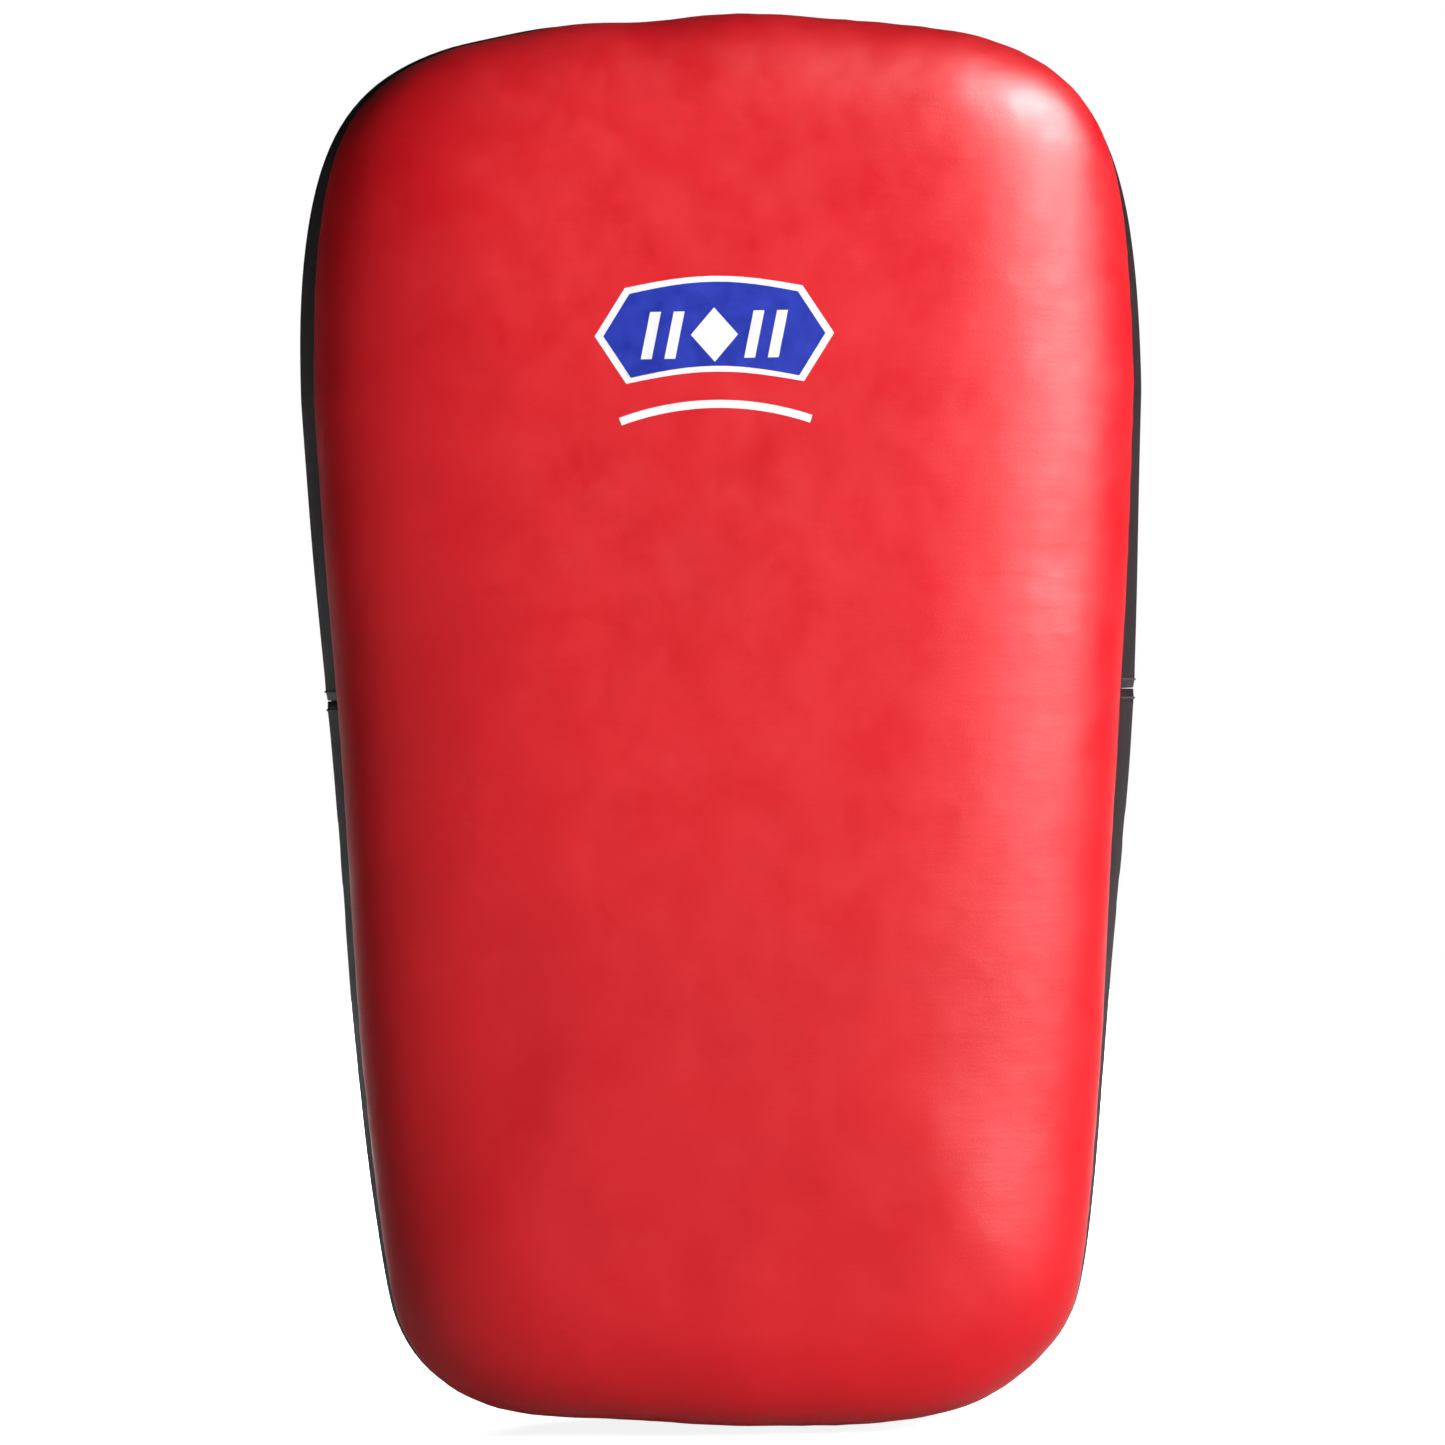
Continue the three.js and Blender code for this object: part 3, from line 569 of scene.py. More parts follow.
def stitches(name, rows, material=THREAD_GREY, radius=THREAD):
    """One mesh of short thread stitches along rows of (points, normals), each sunk at both ends."""
    angles = [2 * math.pi * k / THREAD_SIDES for k in range(THREAD_SIDES)]
    vertices, faces = [], []
    for points, normals in rows:
        points, normals = np.asarray(points, float), np.asarray(normals, float)
        along = lengths(points)
        count = max(2, int(along[-1] / STITCH))
        for centre in (np.arange(count) + 0.5) * along[-1] / count:
            wanted = [centre - HALF_STITCH, centre, centre + HALF_STITCH]
            start, middle, end = at_lengths(points, along, wanted)
            tangent = unit(end - start)
            up = unit(at_lengths(normals, along, centre))
            side = np.cross(tangent, up)
            base = len(vertices)
            for share, lift, size in STITCH_STATIONS:
                hub = middle + tangent * share * HALF_STITCH + up * lift * radius
                vertices += [hub + size * radius * (math.cos(a) * side + math.sin(a) * up) for a in angles]
            last = base + (len(STITCH_STATIONS) - 1) * THREAD_SIDES
            for first in range(base, last, THREAD_SIDES):
                for k in range(THREAD_SIDES):
                    a = first + k
                    b = first + (k + 1) % THREAD_SIDES
                    faces.append((a, b, b + THREAD_SIDES, a + THREAD_SIDES))
            faces.append([base + k for k in reversed(range(THREAD_SIDES))])
            faces.append([last + k for k in range(THREAD_SIDES)])
    return outward(make_object(name, vertices, faces, None, material))


def facing_back(points):
    """A stitch row on a surface that faces the back."""
    return points, np.tile([0, 1, 0], (len(points), 1))


# ---- Case: front panel ----

SIDE_ROLL = 68 * MM  # from the outline to where the rolled edge ends, at the sides
END_ROLL = 32 * MM  # and at both ends
ROLL_STEPS = 30
CROWN = 2.2 * MM  # how far the middle of the striking face stands out
CROWN_STEPS = 18
CROWN_ROOM = 1.2 * MM  # the form without its crown stays this far behind the CAD's face
FRONT_TURN_IN = [(3.0, 1.9), (1.4, 1.2), (0.45, 0.3)]  # inset and depth behind the seam, in millimetres
GATHERS = 92  # round the front seam


def front_points():
    """Rows of points from the seam's inside, over the rolled edge, to the middle of the striking face."""
    rows = [ring(TUCK + inset * MM, SEAM_Y + depth * MM) for inset, depth in FRONT_TURN_IN]
    depth = SEAM_Y - FACE_Y - CROWN_ROOM
    roll = END_ROLL + (SIDE_ROLL - END_ROLL) * (1 - WAY[:, 1] ** 2)

    def crowned(inset, rise):
        crown = CROWN * (1 - (1 - inset / REACH) ** 2)
        return ring(inset, SEAM_Y - depth * rise - crown)

    for step in range(ROLL_STEPS + 1):
        angle = (math.pi / 2) * (step / ROLL_STEPS) ** 1.15
        across = (1 - math.cos(angle)) ** 1.08
        rows.append(crowned(TUCK + (roll - TUCK) * across, math.sin(angle) ** 0.92))
    for step in range(1, CROWN_STEPS + 1):
        rows.append(crowned(roll + (REACH - LAST_RING - roll) * step / CROWN_STEPS, 1))
    return np.array(rows)


def front_relief(points):
    """How far the stuffed leather stands above the plain form: hollows, swells and gathers along the seam."""
    flat = points.reshape(-1, 3)
    x, z = flat[:, 0], flat[:, 2]
    rows, columns = points.shape[:2]
    inset = np.linalg.norm(points[:, :, [0, 2]] - LOOP[None], axis=2).ravel()
    near_edge = bell(inset, 16 * MM, 20 * MM)
    swell = 0.55 * MM * wobble(flat, 75 * MM, 1) + 0.20 * MM * wobble(flat, 30 * MM, 2) * (0.4 + near_edge)
    around = np.tile(np.arange(columns) / columns, rows)
    uneven = wobble(flat, 20 * MM, 3)
    gathers = np.sin(2 * math.pi * (around * GATHERS + 0.7 * uneven))
    puckers = 0.16 * MM * gathers * np.exp(-inset / (7 * MM)) * (0.5 + 0.5 * wobble(flat, 50 * MM, 4))
    hollow = -1.3 * MM * bell(x, -60 * MM, 20 * MM) * bell(z, 125 * MM, 45 * MM)
    creased = bell(x, 88 * MM, 26 * MM) * bell(z, 235 * MM, 40 * MM)
    ripples = 0.07 * MM * np.sin(2 * math.pi * (z + 0.10 * x + 1.6 * MM * uneven) / (8.5 * MM)) * creased
    held = smooth(inset, 1 * MM, 8 * MM)
    return ((swell + hollow + ripples) * held + puckers).reshape(rows, columns)


def close_middle(obj, last_row):
    """Closes the slit along the spine, left to right."""
    bm = bmesh.new()
    bm.from_mesh(obj.data)
    bm.verts.ensure_lookup_table()
    base = last_row * LOOP_POINTS
    layer = bm.loops.layers.uv.active
    for i in range(LOOP_POINTS // 2):
        across = [LOOP_POINTS - i - 1, (LOOP_POINTS - i) % LOOP_POINTS]
        ids = list(dict.fromkeys(base + place for place in [i, i + 1] + across))
        if len(ids) < 3:
            continue
        face = bm.faces.new([bm.verts[index] for index in ids])
        face.smooth = True
        for loop in face.loops:
            loop[layer].uv = (loop.vert.co.x, loop.vert.co.z)
    bmesh.ops.remove_doubles(bm, verts=bm.verts, dist=0.02 * MM)
    bmesh.ops.recalc_face_normals(bm, faces=bm.faces)
    if min(bm.faces, key=lambda f: f.calc_center_median().y).normal.y > 0:
        bmesh.ops.reverse_faces(bm, faces=bm.faces)
    bm.to_mesh(obj.data)
    bm.free()


def front_leather():
    points = front_points()
    points = displaced(points, front_relief(points))
    obj = grid("front_leather", points, RED, wrap_columns=True)
    close_middle(obj, len(points) - 1)
    return thicken(obj, LEATHER)


# ---- Case: gusset ----

GUSSET_TURN_IN = [(3.0, -0.2), (1.3, 0.6)]  # inset and depth behind the front seam, in millimetres
GUSSET_START = 1.2 * MM  # behind the front seam
GUSSET_STEPS = 24
TUCK_ENDS = 0.42  # the share of the depth over which the front seam's tuck fades
OUTLINE_POINTS = 4000  # to cut the outline at the joins
STRIP_POINTS = 190  # along one strip
STRIP_GAP = 0.05 * MM  # from the join to the end of each strip
JOIN_STITCH = 2.6 * MM  # from the join to each row of thread
JOIN_THREAD = 0.3 * MM
OUTSIDE = 200 * MM  # from the middle plane, clear of the case
EYELET_SINK = 1.3 * MM


def gusset_rows(loop, way, tuck):
    """Rows of the gusset from the front seam's inside to under the back binding."""
    depth = GUSSET_END_Y - SEAM_Y - GUSSET_START
    rows = [ring(tuck + inset * MM, SEAM_Y + y * MM, loop, way) for inset, y in GUSSET_TURN_IN]
    for share in np.linspace(0, 1, GUSSET_STEPS):
        tucked = tuck * max(0, 1 - share / TUCK_ENDS) ** 1.4
        levelled = GONE_AT_BACK * swelling(loop) * smooth(share, 0.4, 1)
        bulge = np.sin(math.pi * share) ** 0.55
        seamed = (0.5 + 2.2 * share) * MM * (1 - bulge)
        rows.append(ring(tucked + levelled + seamed, SEAM_Y + GUSSET_START + depth * share, loop, way))
    return np.array(rows)


def strip_loop(is_upper):
    """The outline between the joins, closer points at its ends, and how far each is from an end."""
    dense = resampled(closed(LOOP), OUTLINE_POINTS)[:-1]
    if is_upper:
        part = dense[dense[:, 1] > JOIN_Z + STRIP_GAP]
    else:
        dense = np.roll(dense, OUTLINE_POINTS // 2, axis=0)
        part = dense[dense[:, 1] < JOIN_Z - STRIP_GAP]
    along = lengths(part)
    even = np.linspace(0, 1, STRIP_POINTS)
    wanted = (even - 0.10 * np.sin(2 * math.pi * even) / math.pi) * along[-1]
    return at_lengths(part, along, wanted), np.minimum(wanted, along[-1] - wanted)


def edge_at(z, side):
    """How far from the middle the outline is at a height, on the right (1) or the left (-1)."""
    half = LOOP_POINTS // 2
    edge = LOOP[1:half] if side > 0 else LOOP[half + 1 :][::-1]
    return float(np.interp(z, edge[:, 1], np.abs(edge[:, 0])))


def eyelet_places():
    """Each vent eyelet's node, the point of the outline it sits at, and the way out."""
    places = []
    step = 10 * MM
    for node in sorted(n for n in frame["nodes"] if "eyelet" in n):
        low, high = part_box(node)
        z = (low.z + high.z) / 2
        side = 1 if low.x > 0 else -1
        x, above = (edge_at(h, side) for h in (z, z + step))
        out = Vector((side * step, 0, x - above)).normalized()
        places.append((node, Vector((side * x, (low.y + high.y) / 2, z)), out))
    return places


def gusset_strip(node, is_upper):
    """One strip: full, gathered at its seams, turned in at the joins and drawn in by the eyelets."""
    loop, from_end = strip_loop(is_upper)
    way, _ = towards_spine(loop, *SPINE)
    points = gusset_rows(loop, way, seam_tuck(loop, way))
    flat = points.reshape(-1, 3)
    rows = len(points)
    across = np.repeat(np.linspace(0, 1, rows), len(loop))
    from_end = np.tile(from_end, rows)
    amounts = 0.40 * MM * wobble(flat * [1, 0.5, 1], 45 * MM, 5) * np.sin(math.pi * across)
    folds = wobble(flat * [1, 0.35, 1], 10 * MM, 6)
    amounts += 0.30 * MM * folds * np.exp(-np.minimum(across, 1 - across) / 0.15)
    amounts += 0.10 * MM * bell(from_end, 3.0 * MM, 2.0 * MM) - 0.2 * MM * np.exp(-from_end / (0.6 * MM))
    for _, place, _ in eyelet_places():
        away = np.linalg.norm(flat - np.array(place), axis=1)
        amounts -= EYELET_SINK * (1 - smooth(away, 5.2 * MM, 10.5 * MM))
    amounts *= smooth(flat[:, 2], 0, 6 * MM)
    amounts = amounts.reshape(points.shape[:2])
    points[:, :, 0] -= way[:, 0] * amounts
    points[:, :, 2] -= way[:, 1] * amounts
    obj = grid(f"{node}_leather", points, GUSSET_BLACK)
    centre = Vector((0, 0, HEIGHT / 2))
    if sum(p.area * p.normal.dot(p.center - centre) for p in obj.data.polygons) < 0:
        obj.data.flip_normals()
    return thicken(obj, LEATHER)


def gusset_join_stitches(strips):
    """Two rows of thread down the gusset on each side, beside the join of its strips."""
    grounds = [surface(strip_of_leather) for strip_of_leather in strips]
    ys = np.linspace(SEAM_Y + 4 * MM, GUSSET_END_Y - 7 * MM, 24)
    rows = []
    for side in (1, -1):
        for ground, shift in zip(grounds, (JOIN_STITCH, -JOIN_STITCH)):
            starts = [(side * OUTSIDE, y, JOIN_Z + shift) for y in ys]
            rows.append(laid_row(ground, starts, (-side, 0, 0)))
    return stitches("gusset_join_stitches", rows, DARK_THREAD, JOIN_THREAD)


# ---- Case: back ----

BACK_TURN_IN = [(2.6, 1.6), (2.4, 0.6), (4.0, 0.1)]  # inset and drop under the binding, in millimetres
BINDING_STITCH = 6.2 * MM  # from the edge to the thread
# The tape's section in millimetres: inset, and y over the binding's low or top edge.
BINDING_SECTION = [
    (1.55, BINDING_LOW, -1.2), (0.75, BINDING_LOW, -1.0), (0.35, BINDING_LOW, 0), (0.15, BINDING_LOW, 3),
    (0.30, BINDING_TOP, -1.6), (0.95, BINDING_TOP, -0.5), (2.0, BINDING_TOP, 0.05), (4.6, BINDING_TOP, 0.1),
    (6.2, BINDING_TOP, -0.12), (7.8, BINDING_TOP, 0.1), (9.0, BINDING_TOP, 0), (9.6, BINDING_TOP, -0.4),
    (9.5, BINDING_TOP, -0.9), (8.6, BINDING_TOP, -1.1), (3.0, BINDING_TOP, -1.1), (2.1, BINDING_TOP, -1.8),
    (1.7, BINDING_LOW, 3), (1.7, BINDING_LOW, 0),
]


def back_leather():
    """The back skin: flat where things are sewn to it, with a soft edge under the binding."""
    rows = [ring(AT_BACK + inset * MM, BACK_Y - drop * MM) for inset, drop in BACK_TURN_IN]
    rows += [ring((REACH - LAST_RING) * share, BACK_Y) for share in np.linspace(0.06, 1, 26)]
    points = np.array(rows)
    flat = points.reshape(-1, 3)
    ripple = 0.10 * MM * wobble(flat, 45 * MM, 8) + 0.05 * MM * wobble(flat, 18 * MM, 9) - 0.08 * MM
    inner = len(BACK_TURN_IN)
    points[inner:, :, 1] += ripple.reshape(points.shape[:2])[inner:]
    obj = grid("back_leather", points, BACK_BLACK, wrap_columns=True)
    close_middle(obj, len(points) - 1)
    if max(obj.data.polygons, key=lambda p: p.center.y).normal.y < 0:
        obj.data.flip_normals()
    return thicken(obj, BACK_LEATHER)


def edge_binding():
    """Woven tape folded over the back seam."""
    rows = np.array([ring(AT_BACK + inset * MM, edge + y * MM) for inset, edge, y in BINDING_SECTION])
    rows[:, :, 1] += (0.12 * MM * wobble(rows.reshape(-1, 3), 12 * MM, 11)).reshape(rows.shape[:2])
    return grid("edge_binding_tape", rows, TAPE, wrap_rows=True, wrap_columns=True)


def binding_stitches():
    line = ring(AT_BACK + BINDING_STITCH, BINDING_TOP + 0.05 * MM)
    return stitches("binding_stitches", [facing_back(closed(line))])


# ---- Emblem ----

FILM_EDGE = 2.6 * MM  # the longest edge of a film's mesh
FILM_ROUNDS = 7  # of halving its long edges, at most
FILM_SINK = 0.25 * MM  # how far a film reaches into the leather
BASE_LIFT, BLUE_LIFT, TOP_LIFT = 0.10 * MM, 0.17 * MM, 0.24 * MM
BAR_SHIFTS = (-19 * MM, -12.5 * MM, 9.5 * MM, 16 * MM)


def film(name, outline, ground, lift, material):
    """A thin printed film over an outline of (x, z) points, laid on the ground surface."""
    in_front = FACE_Y - 50 * MM
    bm = bmesh.new()
    bm.faces.new([bm.verts.new((x, in_front, z)) for x, z in outline])
    bmesh.ops.triangulate(bm, faces=bm.faces)
    for _ in range(FILM_ROUNDS):
        long_edges = [edge for edge in bm.edges if edge.calc_length() > FILM_EDGE]
        if not long_edges:
            break
        bmesh.ops.subdivide_edges(bm, edges=long_edges, cuts=1)
        bmesh.ops.triangulate(bm, faces=bm.faces)
    for vertex in bm.verts:
        hit = ground.ray_cast(Vector((vertex.co.x, in_front, vertex.co.z)), Vector((0, 1, 0)))[0]
        vertex.co.y = hit.y - lift
    made = bmesh.ops.extrude_face_region(bm, geom=list(bm.faces))
    for vertex in (v for v in made["geom"] if isinstance(v, bmesh.types.BMVert)):
        vertex.co.y += lift + FILM_SINK
    bmesh.ops.recalc_face_normals(bm, faces=bm.faces)
    mesh = bpy.data.meshes.new(name)
    bm.to_mesh(mesh)
    bm.free()
    mesh.materials.append(material)
    return link_up(name, mesh)


def badge_outline(x0, z0, half, rise, shoulder):
    """A long hexagon with a slightly arched top and bottom."""
    shares = np.linspace(0, 1, 13)
    arched = 3 * MM * np.sin(math.pi * shares)
    top = [(x0 + shoulder * (1 - 2 * share), z0 + rise + lift) for share, lift in zip(shares, arched)]
    bottom = [(x, 2 * z0 - z + 2 * lift) for (x, z), lift in zip(reversed(top), arched)]
    return [(x0 + half, z0)] + top + [(x0 - half, z0)] + bottom


def curved_line(x0, z0, radius, half_angle, thickness):
    """An arched stroke round (x0, z0), as wide as its thickness."""
    angles = np.linspace(-half_angle, half_angle, 25)
    outer = [(x0 + radius * math.sin(a), z0 + radius * math.cos(a)) for a in angles]
    low = radius - thickness
    return outer + [(x0 + low * math.sin(a), z0 + low * math.cos(a)) for a in angles[::-1]]


def diamond(x0, z0, half, rise):
    return [(x0 + half, z0), (x0, z0 + rise), (x0 - half, z0), (x0, z0 - rise)]


def slanted_bar(x0, z0, width, rise, slant):
    high, low = z0 + rise, z0 - rise
    return [(x0 + width + slant, high), (x0 + slant, high), (x0 - slant, low), (x0 + width - slant, low)]


def emblem(leather):
    """A generic badge in the place of the print: hexagon, diamond, slanted bars and a curved underline."""
    ground = surface(leather)
    low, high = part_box("front_emblem")
    x0, z0 = (low.x + high.x) / 2 - 1.5 * MM, low.z + 0.66 * (high.z - low.z) - 2 * MM
    half = (high.x - low.x) / 2
    edge = badge_outline(x0, z0, half, 13.2 * MM, 24.5 * MM)
    middle = badge_outline(x0, z0, half - 2.4 * MM, 11.6 * MM, 23.2 * MM)
    underline = curved_line(x0, z0 - 98 * MM, 80 * MM, 0.34, 2.2 * MM)
    pieces = [
        film("emblem_badge_edge", edge, ground, BASE_LIFT, WHITE),
        film("emblem_badge", middle, ground, BLUE_LIFT, BLUE),
        film("emblem_diamond", diamond(x0, z0, 6.5 * MM, 7.5 * MM), ground, TOP_LIFT, WHITE),
        film("emblem_underline", underline, ground, BASE_LIFT, WHITE),
    ]
    for number, shift in enumerate(BAR_SHIFTS, 1):
        bar = slanted_bar(x0 + shift, z0, 3 * MM, 6.5 * MM, 1.4 * MM)
        pieces.append(film(f"emblem_bar_{number}", bar, ground, TOP_LIFT, WHITE))
    return pieces


# ---- Forearm cushion ----

CUSHION_CORNER = 20 * MM
CUSHION_SPINE = 48 * MM  # from each end of the cushion to the end of its spine
VOXEL = 3.2 * MM
PRESSURE = 3.0
MOST_MOVE = 5 * MM  # of any point under the pressure
CLOTH_FRAMES = 20
CHANNEL_X = 17 * MM
FOAM_DEPTH = 1.8 * MM
HEM_POINTS = 160
# The hem's section: share of the way out, and height over the cushion's base in millimetres.
HEM_SECTION = [(0, -0.1), (0, 1.1), (0.3, 1.3), (0.62, 0.95), (0.9, 1.1), (1, 0.6), (1, -0.1)]


def cushion_loop(count, grow):
    """A rounded rectangle round the cushion, grown by some metres."""
    low, high = ARM_PAD
    half = high.x + grow
    return rounded_rectangle(-half, half, low.z - grow, high.z + grow, CUSHION_CORNER + grow, 12, count)


def cushion_form():
    """The plain stuffed form before it is inflated, slightly under size."""
    low, high = ARM_PAD
    loop = cushion_loop(96, -1.0 * MM)
    way, reach = towards_spine(loop, low.z + CUSHION_SPINE, high.z - CUSHION_SPINE)
    section = [(reach - LAST_RING, low.y), (4 * MM, low.y), (0.6 * MM, low.y + 1.5 * MM)]
    for angle in np.linspace(0.15, math.pi / 2, 7):
        section.append((13 * MM * (1 - math.cos(angle)), low.y + 3 * MM + 12 * MM * math.sin(angle)))
    section += [((reach - LAST_RING) * share, low.y + 15.4 * MM) for share in (0.5, 0.75, 1)]
    rows = [ring(inset, y, loop, way) for inset, y in section]
    return grid("forearm_cushion", rows, PAD_BLACK, wrap_columns=True, capped=True)


def evaluated_mesh(obj):
    """A new mesh of the object as its modifiers make it."""
    depsgraph = bpy.context.evaluated_depsgraph_get()
    return bpy.data.meshes.new_from_object(obj.evaluated_get(depsgraph))


def swap_mesh(obj, mesh):
    materials = list(obj.data.materials)
    obj.modifiers.clear()
    obj.data = mesh
    mesh.materials.clear()
    for material in materials:
        mesh.materials.append(material)
    make_smooth(mesh)


def inflate(obj, pinned_below):
    """Cloth simulation of a stuffed form: remeshed, blown up, and each point's way kept short."""
    remesh = obj.modifiers.new("remesh", "REMESH")
    remesh.mode = "VOXEL"
    remesh.voxel_size = VOXEL
    swap_mesh(obj, evaluated_mesh(obj))
    start = coordinates(obj.data)
    group = obj.vertex_groups.new(name="pinned")
    group.add([i for i, p in enumerate(start) if p[1] < pinned_below], 1.0, "REPLACE")
    cloth = obj.modifiers.new("cloth", "CLOTH")
    cloth.settings.use_pressure = True
    cloth.settings.uniform_pressure_force = PRESSURE
    cloth.settings.vertex_group_mass = "pinned"
    cloth.settings.effector_weights.gravity = 0
    cloth.settings.tension_stiffness = 20
    cloth.settings.compression_stiffness = 20
    cloth.settings.bending_stiffness = 2
    scene = bpy.context.scene
    for number in range(1, CLOTH_FRAMES + 1):
        scene.frame_set(number)
    blown = evaluated_mesh(obj)
    scene.frame_set(1)
    move = coordinates(blown) - start
    size = np.linalg.norm(move, axis=1, keepdims=True)
    set_coordinates(blown, start + move * np.minimum(1, MOST_MOVE / np.maximum(size, 1e-9)))
    swap_mesh(obj, blown)


def inside_ends(z, near, far):
    """From 0 to 1 between near and far from either end of the cushion."""
    low, high = ARM_PAD
    return smooth(z, low.z + near, low.z + far) * smooth(-z, near - high.z, far - high.z)


def sew_channels(obj):
    """Presses the two sewn channels into the stuffed cushion and makes its leather a little uneven."""
    base = ARM_PAD[0].y
    co = coordinates(obj.data)
    top = smooth(co[:, 1], base + 7 * MM, base + 13 * MM)
    for x in (-CHANNEL_X, CHANNEL_X):
        groove = bell(co[:, 0], x, 3.2 * MM)
        co[:, 1] -= 4.2 * MM * groove * top * inside_ends(co[:, 2], 4 * MM, 16 * MM)
    middle = 0.4 + 0.6 * inside_ends(co[:, 2], 14 * MM, 30 * MM)
    co[:, 1] += 0.35 * MM * wobble(co, 16 * MM, 12) * top * middle
    co[:, 1] = np.maximum(co[:, 1], base)
    set_coordinates(obj.data, co)


def forearm_cushion():
    obj = cushion_form()
    inflate(obj, ARM_PAD[0].y + 1 * MM)
    subdivision = obj.modifiers.new("smooth", "SUBSURF")
    subdivision.levels = 1
    subdivision.render_levels = 1
    swap_mesh(obj, evaluated_mesh(obj))
    sew_channels(obj)
    return obj


def cushion_foam(cushion):
    """The cushion's foam: the same form, one skin further in."""
    mesh = cushion.data.copy()
    set_coordinates(mesh, np.array([v.co - v.normal * FOAM_DEPTH for v in mesh.vertices]))
    mesh.materials.clear()
    mesh.materials.append(FOAM)
    return link_up("forearm_cushion_foam", mesh)


def cushion_hem():
    """The flat hem by which the cushion is sewn to the back panel."""
    base = ARM_PAD[0].y
    inner, outer = cushion_loop(HEM_POINTS, -2 * MM), cushion_loop(HEM_POINTS, 5.5 * MM)
    rows = [at_height(inner + (outer - inner) * share, base + y * MM) for share, y in HEM_SECTION]
    return grid("forearm_cushion_hem", rows, PAD_BLACK, wrap_rows=True, wrap_columns=True)


def hem_stitches():
    line = at_height(cushion_loop(HEM_POINTS, 2.65 * MM), ARM_PAD[0].y + 1.0 * MM)
    return stitches("cushion_hem_stitches", [facing_back(closed(line))])


def channel_stitches(cushion):
    ground = surface(cushion)
    low, high = ARM_PAD
    zs = np.linspace(low.z + 9 * MM, high.z - 9 * MM, 60)
    rows = []
    for x in (-CHANNEL_X, CHANNEL_X):
        starts = [(x, high.y + 30 * MM, z) for z in zs]
        rows.append(laid_row(ground, starts, (0, -1, 0), 0.15 * MM))
    return stitches("cushion_channel_stitches", rows)


# ---- Sewn strips and patches ----

# Points from each edge of a strip in.
STRIP_EDGE = np.array([0, 0.35, 0.8, 1.6, 2.6, 3.3, 4.0, 4.7, 5.6, 9.0, 14.0]) * MM
STEP_ALONG = 1.8 * MM
STRIP_STITCH = 4 * MM  # from a strip's edge to its pressed-in thread
PLATE_MIDDLE = 0.97  # how far in a patch's last ring of points is, as a share
PLATE_CROWN = 0.25 * MM
PLATE_STITCH = 3 * MM


def path_normals(path, out):
    """Unit normals along a path of (x, y) points, on its left-hand (out 1) or right-hand side (-1)."""
    tangent = np.gradient(path, axis=0)
    tangent /= np.linalg.norm(tangent, axis=1, keepdims=True)
    return np.stack([-tangent[:, 1], tangent[:, 0]], axis=1) * out


def strip(name, path, middle_z, half_widths, thickness, out, material, groove=STRIP_STITCH, puff=0.0):
    """A sewn strip along a flat path: width up Z, rounded edges and pressed-in stitch lines.

    out is +1 or -1, the side of the path that faces away from the pad."""
    half_widths = np.broadcast_to(half_widths, len(path))
    rows = []
    for point, across, half in zip(path, path_normals(path, out), half_widths):
        offsets = np.minimum(STRIP_EDGE, half)
        ws = np.concatenate([offsets - half, [0], half - offsets[::-1]])
        edge = half - np.abs(ws)
        rounding = np.clip(edge / (0.45 * thickness + 0.2 * MM), 0, 1)
        rounded = np.sqrt(np.clip(1 - (1 - rounding) ** 2, 0, 1))
        dent = 0.28 * MM * bell(edge, groove, 0.7 * MM)
        swell = puff * np.clip(1 - (ws / half) ** 2, 0, 1)
        top = thickness / 2 * rounded - dent + swell
        bottom = -thickness / 2 * rounded + 0.6 * dent
        section = list(zip(ws, top)) + list(zip(ws[-2:0:-1], bottom[-2:0:-1]))
        rows.append([(point[0] + across[0] * h, point[1] + across[1] * h, middle_z + w) for w, h in section])
    return grid(name, rows, material, wrap_columns=True, capped=True)


def rounded_end(path, half, radius, at_start=False):
    """Half-widths along a path whose end, or start, has rounded corners."""
    along = lengths(path)
    gap = along if at_start else along[-1] - along
    near = np.clip(radius - gap, 0, radius)
    return np.minimum(half, half - radius + np.sqrt(np.maximum(radius**2 - near**2, 0)))


def edge_rows(path, middle_z, half_widths, lift, out, margin, start, stop):
    """Stitch rows along both edges of a strip."""
    normal = path_normals(path, out)
    normals = np.column_stack([normal, np.zeros(len(path))])
    rows = []
    for side in (1, -1):
        points = np.column_stack([path + normal * lift, middle_z + side * (half_widths - margin)])
        rows.append((points[start:stop], normals[start:stop]))
    return rows


def foot_path(outer_x, foot_y, turn_x, root, lift, bend_steps):
    """From a foot's outer end flat along the back, and round its bend to the root (x, y)."""
    root_x, root_y = root
    beside = root_x + math.copysign(2 * MM, root_x)
    flat = np.linspace([outer_x, foot_y], [turn_x, foot_y], 12)
    bend = bezier([(turn_x, foot_y), (beside, foot_y), (root_x, foot_y + lift), (root_x, root_y)], bend_steps)
    return np.concatenate([flat[:-1], bend[:-1]])


def even_steps(path):
    return resampled(path, int(lengths(path)[-1] / STEP_ALONG))


def plate_profile(thick):
    """A patch's section: inset in metres, or as a share of the way in where so marked, and height."""
    high = thick + PLATE_CROWN
    edge = [(0.5 * MM, 0), (0.0, 0.3 * thick), (0.1 * MM, 0.75 * thick), (0.7 * MM, thick)]
    edge += [(2.2 * MM, high), (3.0 * MM, thick - 0.1 * MM), (3.8 * MM, high)]
    rim = [(inset, height, False) for inset, height in edge]
    return [(PLATE_MIDDLE, 0, True)] + rim + [(0.5, high, True), (PLATE_MIDDLE, high, True)]


